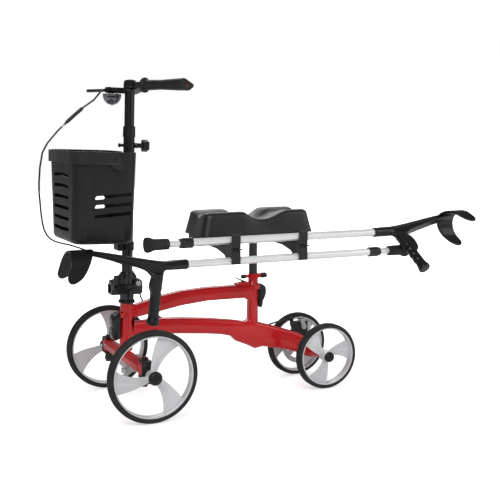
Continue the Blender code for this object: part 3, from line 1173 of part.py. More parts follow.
# Seat: post, pan, pad and the crutch rack
flange_top = PAN_TOP - PAN_WALL - GAP
seat_post = lathe("seat_post", [(0, flange_top), (0.0340, flange_top), (0.0340, flange_top - 0.004),
                                (0.0165, flange_top - 0.0055), (SEAT_POST_D / 2, flange_top - 0.014),
                                (SEAT_POST_D / 2, POST_LOW), (0, POST_LOW)], SEAT, BLACK,
                  at=(SEAT_X, 0, 0))
cut(seat_post, block("seat_keyway", (SEAT_X - 0.030, -0.0032, SEAT_KNOB_H - SEAT_UP - 0.0035),
                     (SEAT_X - SEAT_POST_D / 2 + 0.0022, 0.0032, SEAT_KNOB_H + SEAT_DOWN + 0.0035), SEAT))

pan_x = PAD_FRONT + PAD_L / 2 - 0.004
pan = block("pad_plate", (pan_x - PAN_L / 2, -PAN_W / 2, PAN_TOP - PAN_H),
            (pan_x + PAN_L / 2, PAN_W / 2, PAN_TOP), SEAT, PLASTIC)
rounded(pan, 0.002, 1)
cut(pan, block("pan_hollow", (pan_x - PAN_L / 2 + PAN_WALL, -PAN_W / 2 + PAN_WALL, PAN_TOP - PAN_H - 0.01),
               (pan_x + PAN_L / 2 - PAN_WALL, PAN_W / 2 - PAN_WALL, PAN_TOP - PAN_WALL), SEAT))
for x in (BAR_FRONT_X, BAR_REAR_X):
    join(pan, block(f"pan_rib_{x}", (x - RACK_W / 2 + 0.001, -PAN_W / 2 + 0.0022, PAN_TOP - PAN_H),
                    (x + RACK_W / 2 - 0.001, PAN_W / 2 - 0.0022, PAN_TOP - PAN_WALL + 0.001), SEAT))

# The pad: a cage with two lobes, a dip between them, a valley along the middle and drawn-in sides
pad_low = PAN_TOP + GAP
bm = bmesh.new()
bmesh.ops.create_grid(bm, x_segments=6, y_segments=4, size=0.5)
top_face = list(bm.faces)
raised = bmesh.ops.extrude_face_region(bm, geom=top_face)
raised_verts = {v for v in raised["geom"] if isinstance(v, bmesh.types.BMVert)}
for vert in bm.verts:
    u, v = vert.co.x * 2, vert.co.y * 2
    corner = abs(u) > 0.99 and abs(v) > 0.99
    pull = 0.90 if corner else 1.0
    x = PAD_FRONT + PAD_L / 2 + u * pull * PAD_L / 2 * 1.035
    y = v * pull * PAD_W / 2 * 1.07
    if vert in raised_verts:
        lobes = math.cos(math.pi * u * 1.02) * -0.5 + 0.5
        valley = PAD_VALLEY * (1 - abs(v)) ** 1.2
        edge = max(abs(u) ** 8, abs(v) ** 6)
        height = PAD_H + 0.006 - PAD_DIP * (1 - lobes) - valley - 0.020 * edge
        x = PAD_FRONT + PAD_L / 2 + (x - PAD_FRONT - PAD_L / 2) * 0.965
        vert.co = (x, y * 0.94, pad_low + height)
    else:
        vert.co = (x, y, pad_low - 0.002)
hard = bm.edges.layers.float.get("crease_edge") or bm.edges.layers.float.new("crease_edge")
for edge in bm.edges:
    if all(v.co.z < pad_low for v in edge.verts) and len(edge.link_faces) == 2:
        if any(f.calc_center_median().z > pad_low for f in edge.link_faces):
            edge[hard] = 0.75
pad = place("knee_pad", mesh_of(bm, "knee_pad"), SEAT, VINYL)
soft = pad.modifiers.new("soft", "SUBSURF")
soft.levels = 2
soft.render_levels = 2
for poly in pad.data.polygons:
    poly.use_smooth = True
cut(pad, block("pad_base", (PAD_FRONT - 0.05, -PAD_W, pad_low - 0.03), (PAD_FRONT + PAD_L + 0.05, PAD_W, pad_low),
               SEAT))

clip_back = LANE_Y + CRUTCH_D / 2 + 0.0075
clip_out = LANE_Y - CRUTCH_D / 2 - 0.0065
mouth = CRUTCH_D / 2 + GAP
upper_end = UPPER_LANE + 0.0165
lower_end = LOWER_LANE - 0.0080
waist = UPPER_LANE - 0.0248
bar_top = PAN_TOP - PAN_H - GAP


def seat_arc(lane, start, end):
    """The rounded end of a jaw, round the tube that lies in it"""
    return circle(LANE_Y, lane, mouth, 8, start, end)


rack_shape = ([(PAN_W / 2, bar_top), (PAN_W / 2, bar_top - 0.009), (-PAN_W / 2, bar_top - 0.013),
               (clip_back + 0.020, bar_top - 0.024), (clip_back, bar_top - 0.040),
               (clip_back, lower_end), (LANE_Y + mouth, lower_end)]
              + seat_arc(LOWER_LANE, 0, math.pi)
              + [(LANE_Y - mouth, lower_end), (clip_out, lower_end), (clip_out, waist - 0.0038),
                 (clip_out + 0.0045, waist - 0.0024), (clip_out + 0.0045, waist + 0.0024),
                 (clip_out, waist + 0.0038), (clip_out, upper_end), (LANE_Y - mouth, upper_end)]
              + seat_arc(UPPER_LANE, math.pi, math.tau)
              + [(LANE_Y + mouth, upper_end), (clip_back, upper_end),
                 (clip_back, bar_top + 0.006), (clip_back + 0.020, bar_top)])
for label, x in (("front", BAR_FRONT_X), ("rear", BAR_REAR_X)):
    rack = plate(f"crutch_rack_{label}", [rack_shape], RACK_W, SEAT, PLASTIC, "YZ", x)
    join(rack, block(f"rack_wing_{label}", (x - 0.016, clip_out - 0.0045, waist - 0.0016),
                     (x + 0.016, clip_out + 0.0060, waist + 0.0016), SEAT))


# Crutches: local +X runs from the tip to the cuff, -Z is the way the hand grip points
def crutch(tag, lane, turn, grip_mat=PLASTIC):
    body = empty(f"crutch_{tag}_lift_axis", seat, lane, turn)
    on = (body, (0, 0, 0))
    leg_axis = empty(f"crutch_{tag}_leg_axis", body, (-TUBE_L, 0, 0))
    leg_on = (leg_axis, (TUBE_L, 0, 0))
    r = CRUTCH_D / 2
    inner = INNER_D / 2
    bore = r - CRUTCH_WALL
    seat_depth = SOCKET_L - 0.004
    low = -TUBE_L - COLLAR_L
    tube = lathe(f"crutch_{tag}_tube",
                 [(r, seat_depth), (r, -TUBE_L), (r + 0.0034, -TUBE_L), (r + 0.0036, low + COLLAR_L * 0.3),
                  (r + 0.0018, low), (inner + GAP, low), (inner + GAP, low + COLLAR_L),
                  (bore, low + COLLAR_L), (bore, seat_depth)],
                 on, ALLOY, 16, way=(1, 0, 0), ring=True)
    hole_x = -TUBE_L + 0.030
    holes = [rod(f"crutch_{tag}_hole_{i}", (hole_x + 0.025 * i, -r * 0.5, 0), (hole_x + 0.025 * i, -r * 1.5, 0),
                 0.0030, on, sides=6) for i in range(4)]
    cut(tube, *holes)
    leg_low = -TUBE_L - COLLAR_L - SHOW_L
    leg = rod(f"crutch_{tag}_leg", (leg_low - TIP_L + 0.022, 0, 0), (-TUBE_L + 0.160, 0, 0), inner, leg_on, ALLOY,
              16)
    tip = TIP_D / 2
    lathe(f"crutch_{tag}_tip",
          [(0, leg_low - TIP_L + 0.0217), (inner + GAP, leg_low - TIP_L + 0.0217), (inner + GAP, leg_low),
           (0.0140, leg_low), (0.0150, leg_low - 0.006), (0.0150, leg_low - TIP_L + 0.022),
           (tip - 0.0015, leg_low - TIP_L + 0.016), (tip, leg_low - TIP_L + 0.003), (tip - 0.001, leg_low - TIP_L),
           (0, leg_low - TIP_L)],
          leg_on, RUBBER, 16, way=(1, 0, 0))

    # Moulded handle: socket, rising arm, hand grip and the open cuff
    socket = lathe(f"crutch_{tag}_handle",
                   [(0, SOCKET_L + 0.022), (0.0100, SOCKET_L + 0.018), (SOCKET_D / 2, SOCKET_L),
                    (SOCKET_D / 2 + 0.0005, 0.0015), (SOCKET_D / 2 - 0.001, 0), (0, 0)],
                   on, grip_mat, 16, way=(1, 0, 0))
    rise = spread([(0.020, 0.010), (0.075, 0.0125), (0.150, 0.027), (0.230, 0.0440),
                   (CUFF_X - 0.014, CUFF_RISE + 0.004), (CUFF_X + 0.020, CUFF_RISE + 0.0035)], 1)
    under = spread([(CUFF_X + 0.020, CUFF_RISE - 0.0035), (CUFF_X - 0.025, CUFF_RISE - 0.0105), (0.215, 0.0215),
                    (0.150, 0.0010), (0.118, -0.0135), (0.102, -0.028), (0.075, -0.026), (0.064, -0.0125),
                    (0.020, -0.0105)], 1)
    arm = plate(f"crutch_{tag}_arm", [[(p[0], p[1]) for p in rise + under]], 0.0230, on)
    rounded(arm, 0.004, 1, 60)
    foot = Vector((HAND_X, 0, -0.018))
    end = Vector((HAND_X + 0.016, 0, -HAND_L))
    length = (end - foot).length
    hand = lathe(f"crutch_{tag}_grip",
                 [(0, length), (0.0170, length), (0.0180, length - 0.004), (0.0160, length - 0.016),
                  (0.0128, length * 0.72), (0.0130, length * 0.50), (0.0165, length * 0.22),
                  (0.0150, length * 0.04), (0, 0)],
                 on, sides=12, at=foot, way=end - foot)
    heel = plate(f"crutch_{tag}_heel", [hull2(foot.x + 0.006, foot.z - 0.022, 0.014, foot.x + 0.023,
                                              foot.z - 0.052, 0.010)], 0.0200, on)
    rounded(heel, 0.005, 1, 50)
    join(socket, arm, hand, heel)

    columns, rows = 12, 2
    bm = bmesh.new()
    bmesh.ops.create_grid(bm, x_segments=columns, y_segments=rows, size=0.5)
    reach = math.radians(108)
    for vert in bm.verts:
        u, v = vert.co.x * 2, vert.co.y
        a = u * reach
        width = 0.062 - 0.026 * abs(u) ** 3
        if abs(u) > 0.99:
            width *= 0.62
        x = CUFF_X + 0.036 * abs(u) ** 1.6 + v * width
        vert.co = (x, CUFF_R * math.sin(a), CUFF_RISE - CUFF_R + CUFF_R * math.cos(a))
    cuff = place(f"crutch_{tag}_cuff", smooth(mesh_of(bm, f"crutch_{tag}_cuff"), 60), on)
    skin = cuff.modifiers.new("thickness", "SOLIDIFY")
    skin.thickness = 0.0045
    skin.offset = 0
    join(socket, cuff)
    cut(socket, rod(f"crutch_{tag}_socket_bore", (-0.01, 0, 0), (seat_depth + GAP, 0, 0), r + GAP, on, sides=16))
    return socket


crutch("a", (UPPER_X, LANE_Y, UPPER_LANE - SEAT_TUBE_TOP), (-UPPER_TURN, 0, 0))
crutch("b", (LOWER_X, LANE_Y, LOWER_LANE - SEAT_TUBE_TOP), (0, 0, math.pi))
for ob in bpy.data.objects:
    if ob.name.startswith("crutch_") and ob.name.endswith("_lift_axis"):
        ob.location.x -= SEAT_X
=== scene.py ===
import math

import bmesh
import bpy
from mathutils import Matrix, Vector


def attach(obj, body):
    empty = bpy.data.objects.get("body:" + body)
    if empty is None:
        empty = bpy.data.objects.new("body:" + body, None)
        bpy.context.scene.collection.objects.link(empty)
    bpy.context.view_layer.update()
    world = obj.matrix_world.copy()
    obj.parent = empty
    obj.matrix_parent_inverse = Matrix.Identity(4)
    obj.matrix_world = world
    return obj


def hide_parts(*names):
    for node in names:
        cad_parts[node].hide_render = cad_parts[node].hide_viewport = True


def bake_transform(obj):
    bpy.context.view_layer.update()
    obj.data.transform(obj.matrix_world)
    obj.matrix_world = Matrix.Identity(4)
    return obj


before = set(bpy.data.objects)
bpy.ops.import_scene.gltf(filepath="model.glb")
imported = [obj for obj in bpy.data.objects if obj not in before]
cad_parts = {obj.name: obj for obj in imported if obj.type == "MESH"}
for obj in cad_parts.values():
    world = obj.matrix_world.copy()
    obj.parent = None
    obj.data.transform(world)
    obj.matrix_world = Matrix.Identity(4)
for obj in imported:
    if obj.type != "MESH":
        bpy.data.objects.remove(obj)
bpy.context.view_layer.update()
scene = bpy.context.scene


# Camera, floor and light. A catalogue view from the walker's front left, a little above the
# basket. The walker stands on a wide sheet of white paper that fades to pure white around it,
# under a large soft key lamp, a weaker fill lamp and a lamp behind.
view_from = Vector((-1.2789, -2.5573, 0.8006))
heading, pitch, roll = 0.449, 0.130, 0.001
focal_px, picture_px, film_mm = 967.1, 500, 36
ahead = Vector((math.sin(heading) * math.cos(pitch), math.cos(heading) * math.cos(pitch),
                -math.sin(pitch)))
facing = ahead.to_track_quat("-Z", "Y").to_matrix().to_4x4()
camera_data = bpy.data.cameras.new("studio_camera")
camera_data.sensor_width = film_mm
camera_data.lens = focal_px / picture_px * film_mm
camera = bpy.data.objects.new("studio_camera", camera_data)
scene.collection.objects.link(camera)
camera.matrix_world = Matrix.Translation(view_from) @ facing @ Matrix.Rotation(roll, 4, "Z")
scene.camera = camera
scene.view_settings.view_transform = "Standard"


def node_tree(name):
    """Empty Principled material; returns it with its tree and its shader"""
    mat = bpy.data.materials.new(name)
    mat.use_nodes = True
    shader = mat.node_tree.nodes["Principled BSDF"]
    return mat, mat.node_tree, shader


paper_colour, fibre_shade, fibre_scale = (0.88, 0.88, 0.88), 0.98, 900
paper_rough, paper_shine = 0.9, 0.1
glow_near, glow_far = 0.50, 1.2
fade_from, fade_to = 0.75, 1.60


def paper(name):
    """White paper: the camera sees it nearly white, and it keeps the soft shadow"""
    mat, tree, shader = node_tree(name)
    shader.inputs["Roughness"].default_value = paper_rough
    shader.inputs["Specular IOR Level"].default_value = paper_shine
    fibres = tree.nodes.new("ShaderNodeTexNoise")
    fibres.inputs["Scale"].default_value = fibre_scale
    tint = tree.nodes.new("ShaderNodeMix")
    tint.data_type = "RGBA"
    tint.inputs["A"].default_value = (*paper_colour, 1)
    tint.inputs["B"].default_value = (*[c * fibre_shade for c in paper_colour], 1)
    tree.links.new(fibres.outputs["Fac"], tint.inputs["Factor"])
    tree.links.new(tint.outputs["Result"], shader.inputs["Base Color"])
    shader.inputs["Emission Color"].default_value = (1, 1, 1, 1)
    ray = tree.nodes.new("ShaderNodeLightPath")
    lift = tree.nodes.new("ShaderNodeMath")
    lift.operation = "MULTIPLY"
    spot = tree.nodes.new("ShaderNodeTexCoord")
    reach = tree.nodes.new("ShaderNodeVectorMath")
    reach.operation = "LENGTH"
    fade = tree.nodes.new("ShaderNodeMapRange")
    fade.interpolation_type = "SMOOTHSTEP"
    fade.inputs["From Min"].default_value = fade_from
    fade.inputs["From Max"].default_value = fade_to
    fade.inputs["To Min"].default_value = glow_near
    fade.inputs["To Max"].default_value = glow_far
    tree.links.new(spot.outputs["Object"], reach.inputs[0])
    tree.links.new(reach.outputs["Value"], fade.inputs["Value"])
    tree.links.new(ray.outputs["Is Camera Ray"], lift.inputs[0])
    tree.links.new(fade.outputs["Result"], lift.inputs[1])
    tree.links.new(lift.outputs[0], shader.inputs["Emission Strength"])
    return mat


sheet_half, sheet_drop = 9, 0.0008
bm = bmesh.new()
bmesh.ops.create_grid(bm, x_segments=1, y_segments=1, size=sheet_half)
sheet_mesh = bpy.data.meshes.new("paper_floor")
bm.to_mesh(sheet_mesh)
bm.free()
floor = bpy.data.objects.new("paper_floor", sheet_mesh)
floor.location = (0, 0, -sheet_drop)
scene.collection.objects.link(floor)
sheet_mesh.materials.append(paper("paper_white"))

sky_seen, sky_light, sky_mirrored = 1.0, 0.42, 0.16
world = bpy.data.worlds.new("studio_world")
scene.world = world
world.use_nodes = True
sky_tree = world.node_tree
sky = sky_tree.nodes["Background"]
sky.inputs["Color"].default_value = (1, 1, 1, 1)
rays = sky_tree.nodes.new("ShaderNodeLightPath")
seen = sky_tree.nodes.new("ShaderNodeMath")
seen.operation = "MAXIMUM"
level = sky_tree.nodes.new("ShaderNodeMapRange")
level.inputs["To Max"].default_value = sky_seen
dim = sky_tree.nodes.new("ShaderNodeMapRange")
dim.inputs["To Min"].default_value = sky_light
dim.inputs["To Max"].default_value = sky_mirrored
sky_tree.links.new(rays.outputs["Is Glossy Ray"], dim.inputs["Value"])
sky_tree.links.new(dim.outputs["Result"], level.inputs["To Min"])
sky_tree.links.new(rays.outputs["Is Camera Ray"], seen.inputs[0])
sky_tree.links.new(rays.outputs["Is Transmission Ray"], seen.inputs[1])
sky_tree.links.new(seen.outputs[0], level.inputs["Value"])
sky_tree.links.new(level.outputs["Result"], sky.inputs["Strength"])

lamp_aim = Vector((0, 0, 0.4))


def soft_lamp(name, place, size, power):
    """Round soft lamp that points at the middle of the walker"""
    lamp = bpy.data.lights.new(name, "AREA")
    lamp.shape = "DISK"
    lamp.size = size
    lamp.energy = power
    holder = bpy.data.objects.new(name, lamp)
    holder.location = place
    holder.rotation_euler = (lamp_aim - Vector(place)).to_track_quat("-Z", "Y").to_euler()
    scene.collection.objects.link(holder)


soft_lamp("key_lamp", (-1.9, -2.6, 3.0), size=2.4, power=78)
soft_lamp("fill_lamp", (2.6, -2.0, 1.8), size=2.6, power=30)
soft_lamp("back_lamp", (0.6, 2.8, 2.6), size=2.4, power=40)


# Spine frame: one welded piece of two formed rails, head tube and seat tube, with the tapered
# rear axle tube and the caliper's bracket. It is enamelled in glossy red. The bracket, the ears
# of the lock and the quick release, and the guide screw on the seat tube are black.
cloud_detail, cloud_low, cloud_high = 3, 0.32, 0.68
grain_detail, grain_strength = 4, 0.6
line_detail, line_scale = 5, 60


def shader_group(name, inputs, outputs):
    """Node group with named sockets: inputs are (name, kind, value), outputs are (name, kind)"""
    group = bpy.data.node_groups.new(name, "ShaderNodeTree")
    for label, kind, value in inputs:
        socket = group.interface.new_socket(name=label, in_out="INPUT", socket_type=kind)
        if value is not None:
            socket.default_value = value
    for label, kind in outputs:
        group.interface.new_socket(name=label, in_out="OUTPUT", socket_type=kind)
    return group, group.nodes.new("NodeGroupInput"), group.nodes.new("NodeGroupOutput")


# Mottle: two colours mixed by a soft cloud, and the cloud itself as a mask
mottle, given, gives = shader_group(
    "mottle", [("Light", "NodeSocketColor", None), ("Dark", "NodeSocketColor", None),
               ("Scale", "NodeSocketFloat", 12.0)],
    [("Color", "NodeSocketColor"), ("Mask", "NodeSocketFloat")])
where = mottle.nodes.new("ShaderNodeTexCoord")
cloud = mottle.nodes.new("ShaderNodeTexNoise")
cloud.inputs["Detail"].default_value = cloud_detail
spread_out = mottle.nodes.new("ShaderNodeMapRange")
spread_out.inputs["From Min"].default_value = cloud_low
spread_out.inputs["From Max"].default_value = cloud_high
mixed = mottle.nodes.new("ShaderNodeMix")
mixed.data_type = "RGBA"
mottle.links.new(where.outputs["Object"], cloud.inputs["Vector"])
mottle.links.new(given.outputs["Scale"], cloud.inputs["Scale"])
mottle.links.new(cloud.outputs["Fac"], spread_out.inputs["Value"])
mottle.links.new(spread_out.outputs["Result"], mixed.inputs["Factor"])
mottle.links.new(given.outputs["Light"], mixed.inputs["A"])
mottle.links.new(given.outputs["Dark"], mixed.inputs["B"])
mottle.links.new(mixed.outputs["Result"], gives.inputs["Color"])
mottle.links.new(spread_out.outputs["Result"], gives.inputs["Mask"])

# Grain: the height of a fine skin, from soft noise to small pebbles
grain, given, gives = shader_group(
    "grain", [("Scale", "NodeSocketFloat", 900.0), ("Pebble", "NodeSocketFloat", 0.5)],
    [("Height", "NodeSocketFloat")])
where = grain.nodes.new("ShaderNodeTexCoord")
pebbles = grain.nodes.new("ShaderNodeTexVoronoi")
pebbles.feature = "SMOOTH_F1"
fine = grain.nodes.new("ShaderNodeTexNoise")
fine.inputs["Detail"].default_value = grain_detail
blend_two = grain.nodes.new("ShaderNodeMix")
grain.links.new(where.outputs["Object"], pebbles.inputs["Vector"])
grain.links.new(where.outputs["Object"], fine.inputs["Vector"])
grain.links.new(given.outputs["Scale"], pebbles.inputs["Scale"])
grain.links.new(given.outputs["Scale"], fine.inputs["Scale"])
grain.links.new(given.outputs["Pebble"], blend_two.inputs["Factor"])
grain.links.new(fine.outputs["Fac"], blend_two.inputs["A"])
grain.links.new(pebbles.outputs["Distance"], blend_two.inputs["B"])
grain.links.new(blend_two.outputs["Result"], gives.inputs["Height"])

# In box: a mask that is one inside a box of the given centre and half size
in_box, given, gives = shader_group(
    "in_box", [("Centre", "NodeSocketVector", None), ("Half", "NodeSocketVector", None)],
    [("Mask", "NodeSocketFloat")])
where = in_box.nodes.new("ShaderNodeTexCoord")
last = where.outputs["Object"]
for operation, source in (("SUBTRACT", "Centre"), ("ABSOLUTE", None), ("SUBTRACT", "Half")):
    node = in_box.nodes.new("ShaderNodeVectorMath")
    node.operation = operation
    in_box.links.new(last, node.inputs[0])
    if source:
        in_box.links.new(given.outputs[source], node.inputs[1])
    last = node.outputs[0]
parts = in_box.nodes.new("ShaderNodeSeparateXYZ")
in_box.links.new(last, parts.inputs[0])
last = parts.outputs["X"]
for axis in ("Y", "Z"):
    node = in_box.nodes.new("ShaderNodeMath")
    node.operation = "MAXIMUM"
    in_box.links.new(last, node.inputs[0])
    in_box.links.new(parts.outputs[axis], node.inputs[1])
    last = node.outputs[0]
node = in_box.nodes.new("ShaderNodeMath")
node.operation = "LESS_THAN"
node.inputs[1].default_value = 0.0
in_box.links.new(last, node.inputs[0])
in_box.links.new(node.outputs[0], gives.inputs["Mask"])


def finish_of(name, light, dark, scale, rough, grain_scale, pebble, depth, metallic=0.0,
              coat=0.0, coat_rough=0.1, sheen=0.0, shine=0.5, stretch=None, other=None, zones=()):
    """Surface with mottled colour, roughness that follows the mottle, and its own grain, or drawn
    lines where a stretch is given; inside the zones, boxes given as (centre, half size), it takes
    the other (colour, roughness, metallic)"""
    mat, tree, shader = node_tree(name)
    colour = tree.nodes.new("ShaderNodeGroup")
    colour.node_tree = mottle
    colour.inputs["Light"].default_value = (*light, 1)
    colour.inputs["Dark"].default_value = (*dark, 1)
    colour.inputs["Scale"].default_value = scale
    tree.links.new(colour.outputs["Color"], shader.inputs["Base Color"])
    gloss = tree.nodes.new("ShaderNodeMapRange")
    gloss.inputs["To Min"].default_value = rough[0]
    gloss.inputs["To Max"].default_value = rough[1]
    tree.links.new(colour.outputs["Mask"], gloss.inputs["Value"])
    tree.links.new(gloss.outputs["Result"], shader.inputs["Roughness"])
    bump = tree.nodes.new("ShaderNodeBump")
    bump.inputs["Distance"].default_value = depth
    bump.inputs["Strength"].default_value = grain_strength
    if stretch:
        place = tree.nodes.new("ShaderNodeTexCoord")
        drawn = tree.nodes.new("ShaderNodeMapping")
        drawn.inputs["Scale"].default_value = stretch
        lines = tree.nodes.new("ShaderNodeTexNoise")
        lines.inputs["Scale"].default_value = line_scale
        lines.inputs["Detail"].default_value = line_detail
        tree.links.new(place.outputs["Object"], drawn.inputs["Vector"])
        tree.links.new(drawn.outputs["Vector"], lines.inputs["Vector"])
        tree.links.new(lines.outputs["Fac"], bump.inputs["Height"])
    else:
        skin = tree.nodes.new("ShaderNodeGroup")
        skin.node_tree = grain
        skin.inputs["Scale"].default_value = grain_scale
        skin.inputs["Pebble"].default_value = pebble
        tree.links.new(skin.outputs["Height"], bump.inputs["Height"])
    tree.links.new(bump.outputs["Normal"], shader.inputs["Normal"])
    shader.inputs["Metallic"].default_value = metallic
    mask = None
    for centre, half in zones:
        box = tree.nodes.new("ShaderNodeGroup")
        box.node_tree = in_box
        box.inputs["Centre"].default_value = centre
        box.inputs["Half"].default_value = half
        if mask is None:
            mask = box.outputs["Mask"]
        else:
            either = tree.nodes.new("ShaderNodeMath")
            either.operation = "MAXIMUM"
            tree.links.new(mask, either.inputs[0])
            tree.links.new(box.outputs["Mask"], either.inputs[1])
            mask = either.outputs[0]
    if mask:
        other_colour, other_rough, other_metallic = other
        tint = tree.nodes.new("ShaderNodeMix")
        tint.data_type = "RGBA"
        tint.inputs["B"].default_value = (*other_colour, 1)
        tree.links.new(mask, tint.inputs["Factor"])
        tree.links.new(colour.outputs["Color"], tint.inputs["A"])
        tree.links.new(tint.outputs["Result"], shader.inputs["Base Color"])
        for label, source, value in (("Roughness", gloss.outputs["Result"], other_rough),
                                     ("Metallic", None, other_metallic)):
            mixing = tree.nodes.new("ShaderNodeMix")
            mixing.inputs["A"].default_value = metallic
            mixing.inputs["B"].default_value = value
            tree.links.new(mask, mixing.inputs["Factor"])
            if source:
                tree.links.new(source, mixing.inputs["A"])
            tree.links.new(mixing.outputs["Result"], shader.inputs[label])
    shader.inputs["Specular IOR Level"].default_value = shine
    shader.inputs["Coat Weight"].default_value = coat
    shader.inputs["Coat Roughness"].default_value = coat_rough
    shader.inputs["Sheen Weight"].default_value = sheen
    return mat


plain_black = ((0.0100, 0.0100, 0.0108), 0.42, 0.0)
bracket_zone = ((0.1720, 0.0940, 0.1640), (0.0560, 0.0060, 0.0505))
cable_stop_zone = ((0.1420, 0.0880, 0.1885), (0.0090, 0.0080, 0.0075))
lock_ears_zone = ((-0.4544, 0.0310, 0.2630), (0.0092, 0.0200, 0.0110))
release_ears_zone = ((0.0018, 0.0310, 0.3140), (0.0081, 0.0170, 0.0110))
guide_screw_zone = ((-0.0560, 0.0310, 0.3460), (0.0080, 0.0090, 0.0090))
red_paint = finish_of(
    "red_gloss_paint", light=(0.56, 0.0060, 0.0085), dark=(0.49, 0.0045, 0.0065), scale=7,
    rough=(0.30, 0.38), grain_scale=260, pebble=0.1, depth=0.00004, coat=0.60, coat_rough=0.08,
    shine=0.22, other=plain_black,
    zones=(bracket_zone, cable_stop_zone, lock_ears_zone, release_ears_zone, guide_screw_zone))

copy_weld, flat_angle = 0.00002, math.radians(0.6)


def placed(name, mesh, body, mat, nodes=(), smooth=40):
    """Object at the origin that rides on its body, if one is given, and stands for its nodes"""
    mesh.shade_smooth()
    mesh.set_sharp_from_angle(angle=math.radians(smooth))
    mesh.materials.clear()
    mesh.materials.append(mat)
    piece = bpy.data.objects.new(name, mesh)
    scene.collection.objects.link(piece)
    if body:
        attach(piece, body)
    if nodes:
        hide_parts(*nodes)
    return piece


def clean_copy(node):
    """A node's mesh with its doubles merged and its flat areas joined"""
    bm = bmesh.new()
    bm.from_mesh(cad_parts[node].data)
    bmesh.ops.remove_doubles(bm, verts=bm.verts, dist=copy_weld)
    bmesh.ops.dissolve_limit(bm, angle_limit=flat_angle, verts=bm.verts, edges=bm.edges)
    return bm


def smoothed(node, body, mat, smooth=40, bevel=0.0):
    """The node's own shape with smooth shading and, where asked, softened edges"""
    mesh = bpy.data.meshes.new(node + "_finished")
    bm = clean_copy(node)
    bm.to_mesh(mesh)
    bm.free()
    piece = placed(node + "_finished", mesh, body, mat, (node,), smooth)
    if bevel:
        soft = piece.modifiers.new("soft_edges", "BEVEL")
        soft.width = bevel
        soft.segments = 2
        soft.limit_method = "ANGLE"
        soft.angle_limit = math.radians(smooth)
        soft.use_clamp_overlap = True


smoothed("main_frame", "frame", red_paint, smooth=42)


# Axles: an eight-sided red beam in front with a sleeve at each end, in which the black knuckles
# turn on their kingpins. The tie rod and the steerer behind and within it, and the rear axle in
# its tube, are plated steel.
black_paint = finish_of(
    "black_satin_paint", light=(0.0075, 0.0075, 0.0082), dark=(0.0050, 0.0050, 0.0054),
    scale=14, rough=(0.26, 0.34), grain_scale=700, pebble=0.3, depth=0.00004, coat=0.40,
    coat_rough=0.10, shine=0.35)
zinc_steel = finish_of(
    "zinc_steel", light=(0.55, 0.55, 0.57), dark=(0.42, 0.42, 0.44), scale=60,
    rough=(0.28, 0.42), grain_scale=900, pebble=0.3, depth=0.00004, metallic=0.8)
smoothed("front_axle_beam", "frame", red_paint, smooth=30, bevel=0.0008)
for side in ("left", "right"):
    smoothed(f"{side}_knuckle", f"{side}_knuckle", black_paint, smooth=35, bevel=0.0006)
smoothed("tie_rod", "tie_rod", zinc_steel)
smoothed("steerer", "steering", zinc_steel)
smoothed("rear_axle", "frame", zinc_steel)


# Wheels: solid rubber tyres with a fine ribbed tread on silver moulded rims, three swirl blades
# each, and a black cap pressed into the hub. The rear pair is smaller than the front pair. The
# kingpins that carry the front pair lean back by the rake.
tyre_rubber = finish_of(
    "tyre_rubber", light=(0.0135, 0.0133, 0.0130), dark=(0.0085, 0.0085, 0.0085),
    scale=30, rough=(0.62, 0.80), grain_scale=1100, pebble=0.5, depth=0.00010)
silver_rim = finish_of(
    "silver_rim", light=(0.66, 0.66, 0.68), dark=(0.58, 0.58, 0.60), scale=9,
    rough=(0.26, 0.34), grain_scale=500, pebble=0.2, depth=0.00003, metallic=0.20, coat=0.25,
    coat_rough=0.12)
black_moulding = finish_of(
    "black_moulding", light=(0.0095, 0.0095, 0.0105), dark=(0.0065, 0.0065, 0.0070),
    scale=18, rough=(0.34, 0.46), grain_scale=1400, pebble=0.6, depth=0.00006, shine=0.35)
weld = 0.00001
rake = math.radians(1.8)
hub_half, tyre_half, rim_half = 0.017, 0.014, 0.012
hub_bore, hub_collar, hub_r = 0.0113, 0.0145, 0.0160
rib_half, groove_lip, rib_drop, groove_drop = 0.0009, 0.0013, 0.0001, 0.0010
blade_root, blade_flare, blade_sweep = 0.020, 0.046, math.radians(17)
blade_crease, blade_twist, blade_t = 0.0045, 0.0012, 0.0042


def made(name, bm, body, mat, nodes=(), smooth=40):
    """Closes the seams of a bmesh, turns it outward and places it"""
    bmesh.ops.remove_doubles(bm, verts=bm.verts, dist=weld)
    bmesh.ops.recalc_face_normals(bm, faces=bm.faces)
    mesh = bpy.data.meshes.new(name)
    bm.to_mesh(mesh)
    bm.free()
    return placed(name, mesh, body, mat, nodes, smooth)


def turned(profile, steps, where, closed=False):
    """Full turn of a profile of (radius, height) about the local Z axis"""
    bm = bmesh.new()
    verts = [bm.verts.new((r, 0, z)) for r, z in profile]
    edges = [bm.edges.new(pair) for pair in zip(verts, verts[1:])]
    if closed:
        edges.append(bm.edges.new((verts[-1], verts[0])))
    bmesh.ops.spin(bm, geom=verts + edges, cent=(0, 0, 0), axis=(0, 0, 1), angle=math.tau, steps=steps,
                   use_merge=True)
    bmesh.ops.remove_doubles(bm, verts=bm.verts, dist=weld)
    bmesh.ops.recalc_face_normals(bm, faces=bm.faces)
    bm.transform(where)
    return bm


def add_mesh(bm, other):
    """Puts a second bmesh into the first"""
    mesh = bpy.data.meshes.new("joined")
    other.to_mesh(mesh)
    other.free()
    bm.from_mesh(mesh)
    bpy.data.meshes.remove(mesh)
    return bm


